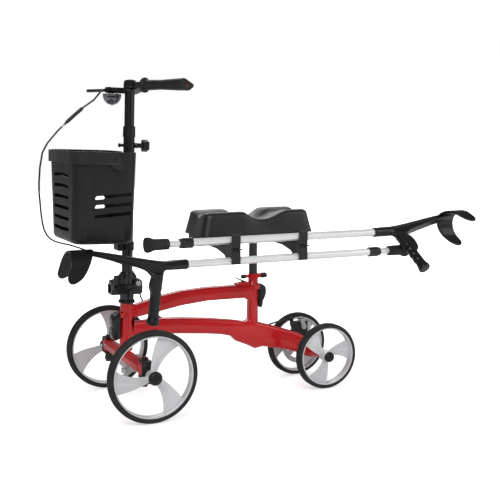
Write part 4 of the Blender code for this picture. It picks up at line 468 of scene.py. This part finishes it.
def swirl_blade(r0, r1, centre):
    """Blade that flares and sweeps from hub to rim, creased along its middle"""
    bm = bmesh.new()
    bmesh.ops.create_grid(bm, x_segments=8, y_segments=16, size=0.5)
    for vert in bm.verts:
        across, along = vert.co.x * 2, vert.co.y + 0.5
        r = r0 + (r1 - r0) * along
        half = (blade_root + blade_flare * along ** 1.4) / 2
        angle = math.pi / 2 - centre - blade_sweep * along - across * half / max(r, r0 * 1.2)
        crease = blade_crease * (1 - abs(across)) ** 1.2 - blade_twist * along * across
        vert.co = (r * math.cos(angle), r * math.sin(angle), crease)
    bmesh.ops.recalc_face_normals(bm, faces=bm.faces)
    bmesh.ops.solidify(bm, geom=bm.faces[:], thickness=blade_t)
    return bm


def wheel(tag, side, centre, raked, diameter, tyre_h, cap_d, angle):
    """Tyre, rim and hub cap, turned about local Z, which points outward on its side"""
    where = Matrix.Translation(centre)
    if raked:
        where = where @ Matrix.Rotation(rake, 4, "Y")
    where = where @ Matrix.Rotation(-side * math.pi / 2, 4, "X")
    r = diameter / 2
    seat = r - tyre_h
    rounded = [(seat + tyre_h * 0.30, tyre_half), (r - tyre_h * 0.38, tyre_half * 0.93),
               (r - tyre_h * 0.16, tyre_half * 0.76), (r - tyre_h * 0.05, tyre_half * 0.52)]
    ribs = []
    for rib in range(5):
        mid = tyre_half * (0.40 - 0.20 * rib)
        ribs += [(r - rib_drop, mid + rib_half), (r - rib_drop, mid - rib_half)]
        if rib < 4:
            ribs += [(r - groove_drop, mid - groove_lip),
                     (r - groove_drop, mid - tyre_half * 0.20 + groove_lip)]
    lower = [(a, -b) for a, b in reversed(rounded)]
    beads = [(seat + 0.0006, -rim_half - 0.0010), (seat, -rim_half), (seat, rim_half),
             (seat + 0.0006, rim_half + 0.0010)]
    made(f"{tag}_tread_tyre", turned(rounded + ribs + lower + beads, 96, where, True), f"{tag}_wheel",
         tyre_rubber, (f"{tag}_tyre",), smooth=35)

    edge = seat - 0.0003
    barrel = [(edge, rim_half), (edge, -rim_half), (edge - 0.0030, -rim_half),
              (edge - 0.0040, -rim_half + 0.0012), (edge - 0.0045, -rim_half + 0.0040),
              (edge - 0.0045, rim_half - 0.0040), (edge - 0.0040, rim_half - 0.0012),
              (edge - 0.0030, rim_half)]
    rim = turned(barrel, 96, Matrix(), True)
    hub = [(hub_bore, hub_half), (hub_collar, hub_half), (hub_r, hub_half - 0.0015),
           (hub_r, -hub_half + 0.0015), (hub_collar, -hub_half), (hub_bore, -hub_half)]
    add_mesh(rim, turned(hub, 48, Matrix(), True))
    for blade in range(3):
        add_mesh(rim, swirl_blade(hub_collar, edge - 0.0042, angle + math.tau * blade / 3))
    rim.transform(where)
    made(f"{tag}_swirl_rim", rim, f"{tag}_wheel", silver_rim, (f"{tag}_rim",), smooth=32)

    top = hub_half + 0.0003
    cap_r = cap_d / 2
    cap = [(0, top + 0.0098), (cap_r * 0.30, top + 0.0098), (cap_r * 0.42, top + 0.0092),
           (cap_r * 0.52, top + 0.0110), (cap_r * 0.72, top + 0.0108), (cap_r * 0.88, top + 0.0088),
           (cap_r, top + 0.0048), (cap_r, top), (0.0110, top), (0.0110, -hub_half), (0.0056, -hub_half),
           (0.0056, hub_half - 0.001), (0.0094, hub_half - 0.001), (0.0094, hub_half + 0.0078),
           (0, hub_half + 0.0078)]
    made(f"{tag}_hub_cap", turned(cap, 48, where), f"{tag}_wheel", black_moulding,
         (f"{tag}_hub_fittings",), smooth=30)


front_size, rear_size = (0.254, 0.014, 0.038), (0.200, 0.012, 0.031)
for tag, side, centre, raked, size, first_blade in (
        ("front_left", -1, (-0.4165, -0.169, 0.127), True, front_size, 8),
        ("front_right", 1, (-0.4165, 0.231, 0.127), True, front_size, 40),
        ("rear_left", -1, (0.1795, -0.064, 0.100), False, rear_size, 65),
        ("rear_right", 1, (0.1795, 0.126, 0.100), False, rear_size, 20)):
    wheel(tag, side, centre, raked, *size, math.radians(first_blade))


# Brake on the right rear wheel: a drilled steel disc bolted to the hub, a black caliper on the
# frame's bracket, and the plated arm that the cable pulls.
smoothed("brake_rotor", "rear_right_wheel", zinc_steel, smooth=30)
smoothed("brake_caliper", "frame", black_paint, smooth=30, bevel=0.0008)
smoothed("brake_caliper_arm", "caliper_arm", zinc_steel, smooth=30, bevel=0.0005)


# Steering column foot: the flanged bush on the head tube, the cast clamp yoke with its hinge pin
# and cam lever, the lug that folds between its cheeks, and the lock lever ahead of the head tube.
smoothed("headset_bush", "frame", black_moulding)
smoothed("fold_yoke", "steering", black_paint, smooth=38, bevel=0.0022)
smoothed("fold_pin", "steering", zinc_steel)
smoothed("fold_lug", "column", black_paint, smooth=38, bevel=0.0022)
smoothed("fold_clamp_lever", "fold_clamp", black_paint, smooth=38, bevel=0.0010)
smoothed("steering_lock_lever", "steering_lock", black_paint, smooth=38, bevel=0.0016)


# Column: black tube with a moulded collar, a height knob behind and its stop screw in front,
# the thinner handlebar post sliding in it, and the basket's bracket low down. It leans back
# with the kingpins.
column_foot, axle_h = (-0.426, 0.031, 0.1273), 0.127
column = (Matrix.Translation(column_foot) @ Matrix.Rotation(rake, 4, "Y")
          @ Matrix.Translation((0, 0, -axle_h)))
lengthwise = Matrix.Rotation(math.pi / 2, 4, "Y")
knob_t, knob_lobe = 0.018, 0.10
smoothed("column_tube", "column", black_paint)
smoothed("column_collar", "column", black_moulding)
smoothed("basket_bracket", "column", black_moulding, smooth=35, bevel=0.0008)
smoothed("handlebar_post", "handlebar", black_paint)


def slab(outline, thickness, axes, where=Matrix(), edge=0.0, segments=3):
    """Flat outline given thickness about its plane; axes maps (a, b, height) to x, y, z"""
    bm = bmesh.new()
    face = bm.faces.new([bm.verts.new((a, b, -thickness / 2)) for a, b in outline])
    raised = bmesh.ops.extrude_face_region(bm, geom=[face])["geom"]
    bmesh.ops.translate(bm, vec=(0, 0, thickness),
                        verts=[v for v in raised if isinstance(v, bmesh.types.BMVert)])
    bmesh.ops.recalc_face_normals(bm, faces=bm.faces)
    if edge:
        rims = [e for e in bm.edges if abs(e.verts[0].co.z - e.verts[1].co.z) < 1e-6]
        bmesh.ops.bevel(bm, geom=rims, offset=edge, segments=segments, affect="EDGES", profile=0.5,
                        material=-1, clamp_overlap=True)
    turn = {"XZ": Matrix(((1, 0, 0, 0), (0, 0, -1, 0), (0, 1, 0, 0), (0, 0, 0, 1))),
            "YZ": Matrix(((0, 0, 1, 0), (1, 0, 0, 0), (0, 1, 0, 0), (0, 0, 0, 1)))}[axes]
    bm.transform(where @ turn)
    return bm


def star_knob(name, node, where, tip, neck, neck_r, head, head_r):
    """Five-lobed clamping knob along local X with a recessed middle, neck and screw"""
    outline = []
    for i in range(60):
        a = math.tau * i / 60
        r = head_r * (0.90 + knob_lobe * math.cos(5 * a))
        outline.append((r * math.cos(a), r * math.sin(a)))
    bm = slab(outline, knob_t, "YZ", Matrix.Translation((head + knob_t / 2, 0, 0)), edge=0.0030)
    dish = [(0, head + 0.0192), (head_r * 0.50, head + 0.0192), (head_r * 0.56, head + 0.0176),
            (head_r * 0.56, head + 0.010), (0, head + 0.010)]
    add_mesh(bm, turned(dish, 36, lengthwise))
    stem = [(neck_r, head + 0.003), (neck_r * 0.78, head - 0.004), (neck_r * 0.76, neck),
            (0.0040, neck), (0.0040, tip), (0, tip)]
    add_mesh(bm, turned(stem, 32, lengthwise))
    bm.transform(where)
    made(name, bm, node, black_moulding, (node,), smooth=35)


star_knob("height_star_knob", "height_knob", column @ Matrix.Translation((0, 0, 0.740)),
          tip=0.0140, neck=0.0243, neck_r=0.0085, head=0.0383, head_r=0.0175)


# Handlebar: a bent black tube in a smooth cast head. Each rubber palm grip has a clamp ring, a
# full palm and a slanted end with a small dark red disc let into it. The brake perch and its
# lever sit on the right.
grip_rubber = finish_of(
    "grip_rubber", light=(0.0130, 0.0128, 0.0128), dark=(0.0085, 0.0085, 0.0088),
    scale=25, rough=(0.46, 0.58), grain_scale=1600, pebble=0.8, depth=0.00010, sheen=0.05, shine=0.35)
bar_h, bar_half, bar_r, sweep = 0.905, 0.186, 0.011, math.radians(21.5)
sweep_x, sweep_y = math.sin(sweep), math.cos(sweep)


def on_bar(side, along, lift=0.0):
    """Point on the swept bar, so far from its middle on that side"""
    return Vector((sweep_x * along, side * sweep_y * along, bar_h + lift))


def smooth_line(points, steps):
    """Even curve through the points"""
    points = [Vector(p) for p in points]
    ends = [points[0] * 2 - points[1]] + points + [points[-1] * 2 - points[-2]]
    line = []
    for i in range(len(points) - 1):
        a, b, c, d = ends[i:i + 4]
        for k in range(steps):
            t = k / steps
            line.append(0.5 * (2 * b + (c - a) * t + (2 * a - 5 * b + 4 * c - d) * t * t
                               + (3 * b - a - 3 * c + d) * t ** 3))
    return line + [points[-1]]


def tube_along(line, radius, sides, where=Matrix()):
    """Round tube: one ring for each point of the line, bridged, with closed ends"""
    bm = bmesh.new()
    before = []
    across = None
    for i, point in enumerate(line):
        way = (line[min(i + 1, len(line) - 1)] - line[max(i - 1, 0)]).normalized()
        if across is None:
            across = way.orthogonal().normalized()
        across = (across - way * across.dot(way)).normalized()
        turn = Matrix((across, way.cross(across), way)).transposed().to_4x4()
        ring = bmesh.ops.create_circle(bm, cap_ends=i in (0, len(line) - 1), segments=sides,
                                       radius=radius[i] if isinstance(radius, list) else radius,
                                       matrix=Matrix.Translation(point) @ turn)["verts"]
        edges = list(dict.fromkeys(e for v in ring for e in v.link_edges))
        if before:
            bmesh.ops.bridge_loops(bm, edges=before + edges)
        before = edges
    bmesh.ops.recalc_face_normals(bm, faces=bm.faces)
    bm.transform(where)
    return bm


bar_line = smooth_line([on_bar(-1, bar_half), on_bar(-1, 0.120), on_bar(-1, 0.040),
                        Vector((0.0055, 0, bar_h)), on_bar(1, 0.040), on_bar(1, 0.120),
                        on_bar(1, bar_half)], 6)
bar = tube_along(bar_line, bar_r, 32, column)
head_line = smooth_line([on_bar(-1, 0.0245), on_bar(-1, 0.012, 0.0006), Vector((0.0020, 0, bar_h + 0.0010)),
                         on_bar(1, 0.012, 0.0006), on_bar(1, 0.0245)], 5)
head_steps = len(head_line) - 1
swell = [0.0125 + 0.0048 * math.sin(math.pi * i / head_steps) ** 0.7 for i in range(head_steps + 1)]
add_mesh(bar, tube_along(head_line, swell, 32, column))
head_cap = [(0, bar_h + 0.0163), (0.0090, bar_h + 0.0160), (0.0150, bar_h + 0.0130),
            (0.0172, bar_h + 0.0070), (0.0174, bar_h - 0.0120), (0.0164, bar_h - 0.0160),
            (0.0140, bar_h - 0.0160)]
add_mesh(bar, turned(head_cap, 48, column))
made("handlebar_head", bar, "handlebar", black_paint, ("handlebar",), smooth=50)


def skinned(name, bm, body, mat, nodes, voxel, rounds):
    """One soft moulding grown over overlapping solids: even skin, then eased"""
    mesh = bpy.data.meshes.new(name)
    bmesh.ops.triangulate(bm, faces=bm.faces)
    bm.to_mesh(mesh)
    bm.free()
    rough = bpy.data.objects.new(name + "_rough", mesh)
    scene.collection.objects.link(rough)
    skin = rough.modifiers.new("skin", "REMESH")
    skin.mode = "VOXEL"
    skin.voxel_size = voxel
    ease = rough.modifiers.new("ease", "SMOOTH")
    ease.factor = 0.5
    ease.iterations = rounds
    bpy.context.view_layer.update()
    graph = bpy.context.evaluated_depsgraph_get()
    result = bpy.data.meshes.new_from_object(rough.evaluated_get(graph))
    bpy.data.objects.remove(rough)
    placed(name, result, body, mat, nodes, smooth=60)


dark_red = finish_of(
    "dark_red_insert", light=(0.050, 0.0055, 0.0080), dark=(0.036, 0.0040, 0.0060), scale=60,
    rough=(0.34, 0.44), grain_scale=900, pebble=0.2, depth=0.00003)
ring_end, palm_shift, grip_voxel, insert_r = 0.0110, 0.0030, 0.0013, 0.0092
insert = [(0, 0.0005), (insert_r - 0.0008, 0.0005), (insert_r, 0), (insert_r, -0.0020), (0, -0.0020)]
for side, sign in (("left", -1), ("right", 1)):
    outward = (column.to_3x3() @ (on_bar(sign, 1) - on_bar(sign, 0))).normalized()
    behind = (column.to_3x3() @ Vector((sweep_y, -sign * sweep_x, 0))).normalized()
    shape = clean_copy(f"{side}_grip")
    along = [v.co.dot(outward) for v in shape.verts]
    palm = bmesh.new()
    for vert, place in zip(shape.verts, along):
        if place > min(along) + ring_end:
            palm.verts.new(vert.co)
    bmesh.ops.convex_hull(palm, input=palm.verts[:])
    bmesh.ops.delete(palm, geom=[v for v in palm.verts if not v.link_faces], context="VERTS")
    end = max((f for f in shape.faces if f.normal.dot(outward) > 0.8), key=lambda f: f.calc_area())
    slant = end.normal.copy()
    face = column @ on_bar(sign, 0) + behind * palm_shift
    face += outward * (end.calc_center_median() - face).dot(slant) / outward.dot(slant)
    skinned(f"{side}_palm_grip", add_mesh(shape, palm), "handlebar", grip_rubber, (f"{side}_grip",),
            grip_voxel, rounds=6)
    spot = Matrix.Translation(face) @ slant.to_track_quat("Z", "Y").to_matrix().to_4x4()
    made(f"{side}_grip_insert", turned(insert, 32, spot), "handlebar", dark_red)
smoothed("brake_lever_mount", "handlebar", black_moulding, smooth=35, bevel=0.0006)
smoothed("brake_lever", "brake_lever", black_paint, smooth=35, bevel=0.0012)


# Bell: a smoked metal dome that hangs mouth up under a black arm, with a small sprung striker
# beside it.
bell_metal = finish_of(
    "bell_metal", light=(0.20, 0.20, 0.22), dark=(0.13, 0.13, 0.15), scale=40,
    rough=(0.12, 0.20), grain_scale=800, pebble=0.2, depth=0.00002, metallic=0.35, coat=0.8,
    coat_rough=0.05)
bell_at = column @ Matrix.Translation((-0.0400, 0.0335, bar_h - 0.0365))
bell_bore = 0.0038
turns = [math.radians(10 * step + 6) * 0.97 for step in range(9)]
outside, inside = [[(bell_bore + wide * math.cos(a), mouth - deep * math.sin(a)) for a in turns]
                   for wide, mouth, deep in ((0.0219, 0.0100, 0.0277), (0.0207, 0.0108, 0.0268))]
dome = ([(0.0245, 0.0125), (0.0257, 0.0124), (0.0260, 0.0110)] + outside
        + [(bell_bore, -0.0177), (bell_bore, -0.0165)] + inside[::-1])
made("bell_dome_polished", turned(dome, 48, bell_at, True), "handlebar", bell_metal, ("bell_dome",))
smoothed("bell_base", "handlebar", black_moulding, smooth=35, bevel=0.0005)
smoothed("bell_striker", "bell_striker", black_moulding, smooth=35, bevel=0.0004)


# Basket: a moulded black tub with slots, a rolled rim, and a glossier carry handle strapped
# round its front on two rivets. It hooks on the column's bracket by a tongue.
strap_black = finish_of(
    "strap_black", light=(0.0170, 0.0170, 0.0190), dark=(0.0120, 0.0120, 0.0135),
    scale=18, rough=(0.26, 0.34), grain_scale=1400, pebble=0.5, depth=0.00005, shine=0.55)
smoothed("basket", "basket", black_moulding, smooth=35)
smoothed("basket_handle", "basket_handle", strap_black, smooth=35, bevel=0.0009)


# Seat post and its fittings: a black post in the red seat tube, the star knob and the quick
# release lever behind it, a thin black lever in front over the rail, and the ribbed plate under
# the pad.
seat_tube_at, seat_knob_h = (-0.0215, 0.031), 0.346
thin_lever = [(-0.0800, 0.3432), (-0.0785, 0.3456), (-0.0600, 0.3375), (-0.0480, 0.3320),
              (-0.0500, 0.3290), (-0.0615, 0.3335)]
smoothed("seat_post", "seat", black_paint)
smoothed("pad_plate", "seat", black_moulding, smooth=35, bevel=0.0005)
smoothed("seat_clamp_lever", "seat_clamp", black_moulding, smooth=38, bevel=0.0010)
made("saddle_lever", slab(thin_lever, 0.0100, "XZ", Matrix.Translation((0, seat_tube_at[1], 0)),
                          edge=0.0010, segments=2), "frame", black_paint)
star_knob("seat_star_knob", "seat_knob", Matrix.Translation((*seat_tube_at, seat_knob_h)),
          tip=0.0130, neck=0.0238, neck_r=0.0068, head=0.0260, head_r=0.0086)


# Knee pad: one moulded foam cushion in black vinyl, with a lobe at each end, a dip between them
# and a shallow channel along the middle for the shin. Its sides lean in toward the top.
pad_vinyl = finish_of(
    "pad_vinyl", light=(0.0150, 0.0152, 0.0165), dark=(0.0105, 0.0106, 0.0115), scale=6,
    rough=(0.36, 0.46), grain_scale=520, pebble=0.9, depth=0.00022, sheen=0.1)
pad_mid = Vector((-0.0365, 0.031, 0))
pad_low, pad_half, pad_side, pad_h = 0.4801, 0.180, 0.0785, 0.0685
pad_corner, waist_u, dip_h = 0.020, 0.05, 0.0235
channel_h, channel_v, crown_h = 0.015, 0.40, 0.0030
edge_from, edge_width, edge_h = 0.92, 0.08, 0.0065
skirt_x, skirt_y, skirt_rows = 0.0148, 0.0078, 6


def pad_outline(u, v, half_x, half_y, corner):
    """Square grid point to a rounded rectangle of that size"""
    ring = max(abs(u), abs(v), 1e-6)
    x, y = u * half_x, v * half_y
    r = corner * ring
    inner_x = half_x * ring - r
    inner_y = half_y * ring - r
    near = Vector((max(-inner_x, min(inner_x, x)), max(-inner_y, min(inner_y, y))))
    off = Vector((x, y)) - near
    if off.length > 1e-9 and abs(x) > inner_x and abs(y) > inner_y:
        off = off.normalized() * min(off.length, r)
    return near + off


bm = bmesh.new()
bmesh.ops.create_grid(bm, x_segments=64, y_segments=32, size=1)
top_x, top_y = pad_half - 0.0150, pad_side - 0.0080
for vert in bm.verts:
    u, v = vert.co.x, vert.co.y
    spot = pad_outline(u, v, top_x, top_y, pad_corner)
    if u < waist_u:
        share = min(1, (waist_u - u) / (0.39 + 0.07 * v))
        dip = (1 - share ** 2.2) ** 1.3
    else:
        share = min(1, (u - waist_u) / (0.46 - 0.11 * v))
        dip = (1 - share ** 2.4) ** 2.2
    channel = channel_h * math.exp(-(v / channel_v) ** 2) * (1 - 0.35 * dip)
    height = pad_h - dip_h * dip - channel - crown_h * abs(v) ** 4
    height -= edge_h * max(0, (max(abs(u), abs(v)) - edge_from) / edge_width) ** 2
    vert.co = (pad_mid.x + spot.x, pad_mid.y + spot.y, pad_low + height)
open_edge = [e for e in bm.edges if e.is_boundary]
for row in range(skirt_rows):
    grown = bmesh.ops.extrude_edge_only(bm, edges=open_edge)["geom"]
    for vert in (g for g in grown if isinstance(g, bmesh.types.BMVert)):
        flat = Vector((vert.co.x, vert.co.y)) - pad_mid.xy
        flat.x *= 1 + skirt_x / top_x / skirt_rows
        flat.y *= 1 + skirt_y / top_y / skirt_rows
        left = vert.co.z - pad_low
        vert.co = (pad_mid.x + flat.x, pad_mid.y + flat.y, vert.co.z - left / (skirt_rows - row))
    open_edge = [g for g in grown if isinstance(g, bmesh.types.BMEdge)]
bmesh.ops.contextual_create(bm, geom=open_edge)
pad = made("knee_pad_vinyl", bm, "seat", pad_vinyl, ("knee_pad",), smooth=70)


# Crutch rack: two moulded bars bolted under the pad plate. Each ends in a plate with two open
# jaws, one crutch above the other, and a wing bolt with a bright bar between them.
bright_bar = ((0.34, 0.34, 0.35), 0.36, 0.8)
front_bar_zone = ((-0.1565, -0.1532, 0.4528), (0.0170, 0.0042, 0.0021))
rear_bar_zone = ((0.0565, -0.1532, 0.4528), (0.0170, 0.0042, 0.0021))
rack_moulding = finish_of(
    "rack_moulding", light=(0.0125, 0.0125, 0.0138), dark=(0.0085, 0.0085, 0.0092),
    scale=18, rough=(0.38, 0.50), grain_scale=1400, pebble=0.6, depth=0.00006, other=bright_bar,
    zones=(front_bar_zone, rear_bar_zone))
for label in ("front", "rear"):
    smoothed(f"crutch_rack_{label}", "seat", rack_moulding, smooth=35, bevel=0.0008)


# Forearm crutches: bright drawn tubes with a row of holes and a black collar, a thinner leg with
# a rubber foot, and one moulding that makes the socket, the hand grip, the arm and the open cuff.
# Crutch a lies above with its cuff to the rear, and crutch b below with its cuff to the front.
gloss_moulding = finish_of(
    "gloss_moulding", light=(0.0060, 0.0059, 0.0062), dark=(0.0042, 0.0042, 0.0045),
    scale=22, rough=(0.30, 0.40), grain_scale=1500, pebble=0.5, depth=0.00003, coat=0.12,
    coat_rough=0.16, shine=0.36)
upper_collar_zone = ((-0.3010, -0.1240, 0.4776), (0.0190, 0.0200, 0.0200))
lower_collar_zone = ((0.3060, -0.1240, 0.4195), (0.0190, 0.0200, 0.0200))
bright_alloy = finish_of(
    "bright_alloy", light=(0.86, 0.86, 0.87), dark=(0.79, 0.79, 0.81), scale=16,
    rough=(0.26, 0.36), grain_scale=600, pebble=0.2, depth=0.00002, metallic=0.30, stretch=(1, 60, 60),
    other=plain_black, zones=(upper_collar_zone, lower_collar_zone))
crutch_at = {"a": Matrix.Translation((0.3015, -0.124, 0.4776)),
             "b": Matrix.Translation((-0.2965, -0.124, 0.4195)) @ Matrix.Rotation(math.pi, 4, "Z")}
crutch_a_roll = Matrix.Rotation(math.radians(-51.5), 4, "X")
web_w, flange_w, flange_t, palm_w = 0.0150, 0.0235, 0.0045, 0.0205
wave_depth, wave_pitch = 0.0013, 0.0205
cuff_x, cuff_h, cuff_r, cuff_t = 0.298, 0.002, 0.047, 0.0066
cuff_turn, cuff_bend = math.radians(124), 1.48


def crutch_moulding(tag, where, palm_reach, shaft):
    """Socket, flanged arm, hand grip with finger waves and palm rest, and the open cuff, as one skin"""
    bm = turned([(0, 0.076), (0.0090, 0.074), (0.0125, 0.066), (0.0136, 0.055), (0.0142, 0.0040),
                 (0.0136, 0.0005), (0.0114, 0.0005), (0.0114, 0.050), (0, 0.050)], 40, lengthwise)
    rise = smooth_line([(0.020, 0, 0.010), (0.075, 0, 0.0125), (0.150, 0, 0.027), (0.230, 0, 0.0440),
                        (0.284, 0, 0.0530), (0.318, 0, 0.0525)], 5)
    under = smooth_line([(0.318, 0, 0.0455), (0.273, 0, 0.0385), (0.215, 0, 0.0215), (0.150, 0, 0.0010),
                         (0.118, 0, -0.0135), (0.102, 0, -0.028), (0.075, 0, -0.026),
                         (0.064, 0, -0.0125), (0.020, 0, -0.0105)], 5)
    under_arm = under[:26]
    add_mesh(bm, slab([(p.x, p.z) for p in rise + under], web_w, "XZ"))
    upper = [(p.x, p.z) for p in rise] + [(p.x, p.z - flange_t) for p in reversed(rise)]
    lower = [(p.x, p.z) for p in under_arm] + [(p.x, p.z + flange_t) for p in reversed(under_arm)]
    add_mesh(bm, slab(upper, flange_w, "XZ"))
    add_mesh(bm, slab(lower, flange_w, "XZ"))
    root, end = Vector((0.087, 0, -0.018)), Vector((0.103, 0, -0.161))
    length = (end - root).length
    profile = [(0, length), (0.0150, length), (0.0176, length - 0.0022), (0.0180, length - 0.0060)]
    for step in range(40):
        share = 0.92 - 0.90 * step / 39
        base = shaft + 0.0030 * max(0, (share - 0.80) / 0.12) ** 2 + 0.0025 * max(0, 0.45 - share) / 0.45
        profile.append((base, length * share))
    profile.append((0, 0))
    shank = turned(profile, 36, Matrix())
    for vert in shank.verts:
        share = vert.co.z / length
        if 0.28 < share < 0.88:
            fade = min(1, (share - 0.28) / 0.06, (0.88 - share) / 0.06)
            side = max(0.0, -vert.co.x / max(vert.co.xy.length, 1e-6)) ** 1.5
            push = wave_depth * fade * side * math.cos(math.tau * share * length / wave_pitch)
            vert.co.xy *= 1 + push / max(vert.co.xy.length, 1e-6)
    way = (end - root).normalized()
    ahead = (Vector((1, 0, 0)) - way * way.x).normalized()
    turn = Matrix((ahead, way.cross(ahead), way)).transposed().to_4x4()
    shank.transform(Matrix.Translation(root) @ turn)
    add_mesh(bm, shank)
    reach = 0.1000 + palm_reach
    palm = smooth_line([(0.0850, 0, -0.022), (0.1020, 0, -0.018), (reach - 0.006, 0, -0.030),
                        (reach, 0, -0.054), (reach - 0.005, 0, -0.080), (0.1010, 0, -0.092),
                        (0.0880, 0, -0.070)], 5)
    add_mesh(bm, slab([(p.x, p.z) for p in palm], palm_w, "XZ", edge=0.0060))
    cuff = bmesh.new()
    bmesh.ops.create_grid(cuff, x_segments=56, y_segments=10, size=0.5)
    for vert in cuff.verts:
        u, v = vert.co.x * 2, vert.co.y
        width = 0.064 - 0.027 * abs(u) ** 1.4
        if abs(u) > 0.80:
            width *= max(0.05, 1 - ((abs(u) - 0.80) / 0.20) ** 2) ** 0.5
        arc = u * cuff_turn
        bend = max(-cuff_bend, min(cuff_bend, arc))
        past = abs(arc - bend)
        vert.co = (cuff_x + 0.0365 * abs(u) ** 1.5 + v * width,
                   cuff_r * (math.sin(bend) + math.copysign(past, u) * math.cos(bend)),
                   cuff_h + cuff_r * (math.cos(bend) - past * abs(math.sin(bend))))
    bmesh.ops.recalc_face_normals(cuff, faces=cuff.faces)
    bmesh.ops.solidify(cuff, geom=cuff.faces[:], thickness=cuff_t)
    add_mesh(bm, cuff)
    bm.transform(where)
    skinned(f"crutch_{tag}_moulding", bm, f"crutch_{tag}", gloss_moulding, (f"crutch_{tag}_handle",),
            voxel=0.0015, rounds=5)


crutch_moulding("a", crutch_at["a"] @ crutch_a_roll, palm_reach=0.0245, shaft=0.0142)
crutch_moulding("b", crutch_at["b"], palm_reach=0.0100, shaft=0.0150)
for tag in ("a", "b"):
    smoothed(f"crutch_{tag}_tube", f"crutch_{tag}", bright_alloy)
    smoothed(f"crutch_{tag}_leg", f"crutch_{tag}_leg", bright_alloy)

foot = [(0, -0.6970), (0.0094, -0.6970), (0.0094, -0.6530), (0.0136, -0.6530), (0.0146, -0.6545),
        (0.0150, -0.6600), (0.0152, -0.6660), (0.0145, -0.6668), (0.0153, -0.6676), (0.0155, -0.6900),
        (0.0162, -0.6960), (0.0182, -0.7020), (0.0202, -0.7060), (0.0209, -0.7100), (0.0209, -0.7165),
        (0.0200, -0.7188), (0.0160, -0.7188), (0.0155, -0.7180), (0.0120, -0.7180), (0.0115, -0.7188),
        (0.0060, -0.7188), (0.0055, -0.7180), (0, -0.7180)]
for tag in ("a", "b"):
    made(f"crutch_{tag}_foot", turned(foot, 48, crutch_at[tag] @ lengthwise), f"crutch_{tag}_leg",
         tyre_rubber, (f"crutch_{tag}_tip",), smooth=35)


# Brake cable: a black housing from the lever round the basket's front to the fold joint, and
# from there along the spine to the caliper's bracket. An adjuster sleeve with a plated tip sits
# below the lever; the front length is left on no body.
plated_tip = ((0.30, 0.30, 0.31), 0.30, 0.8)
tip_zone = ((-0.5765, 0.0910, 0.7946), (0.0040, 0.0080, 0.0060))
cable_black = finish_of(
    "cable_black", light=(0.0125, 0.0125, 0.0135), dark=(0.0085, 0.0085, 0.0090),
    scale=40, rough=(0.34, 0.44), grain_scale=1200, pebble=0.4, depth=0.00004, other=plated_tip,
    zones=(tip_zone,))
housing = clean_copy("brake_cable_front")
sleeve_end = (-0.1620, 0.060, 0.7979)
sleeve = smooth_line([(-0.1160, 0.060, 0.8394), (-0.1390, 0.060, 0.8190), sleeve_end], 6)
sleeve_r = [0.0038] + [0.0050] * (len(sleeve) - 2) + [0.0040]
add_mesh(housing, tube_along(sleeve, sleeve_r, 20, column))
tip = smooth_line([sleeve_end, (-0.1675, 0.060, 0.7925)], 3)
add_mesh(housing, tube_along(tip, 0.0031, 16, column))
cable = made("brake_cable_front_housing", housing, None, cable_black, ("brake_cable_front",), smooth=50)
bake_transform(cable)
smoothed("brake_cable_rear", "frame", black_moulding, smooth=60)
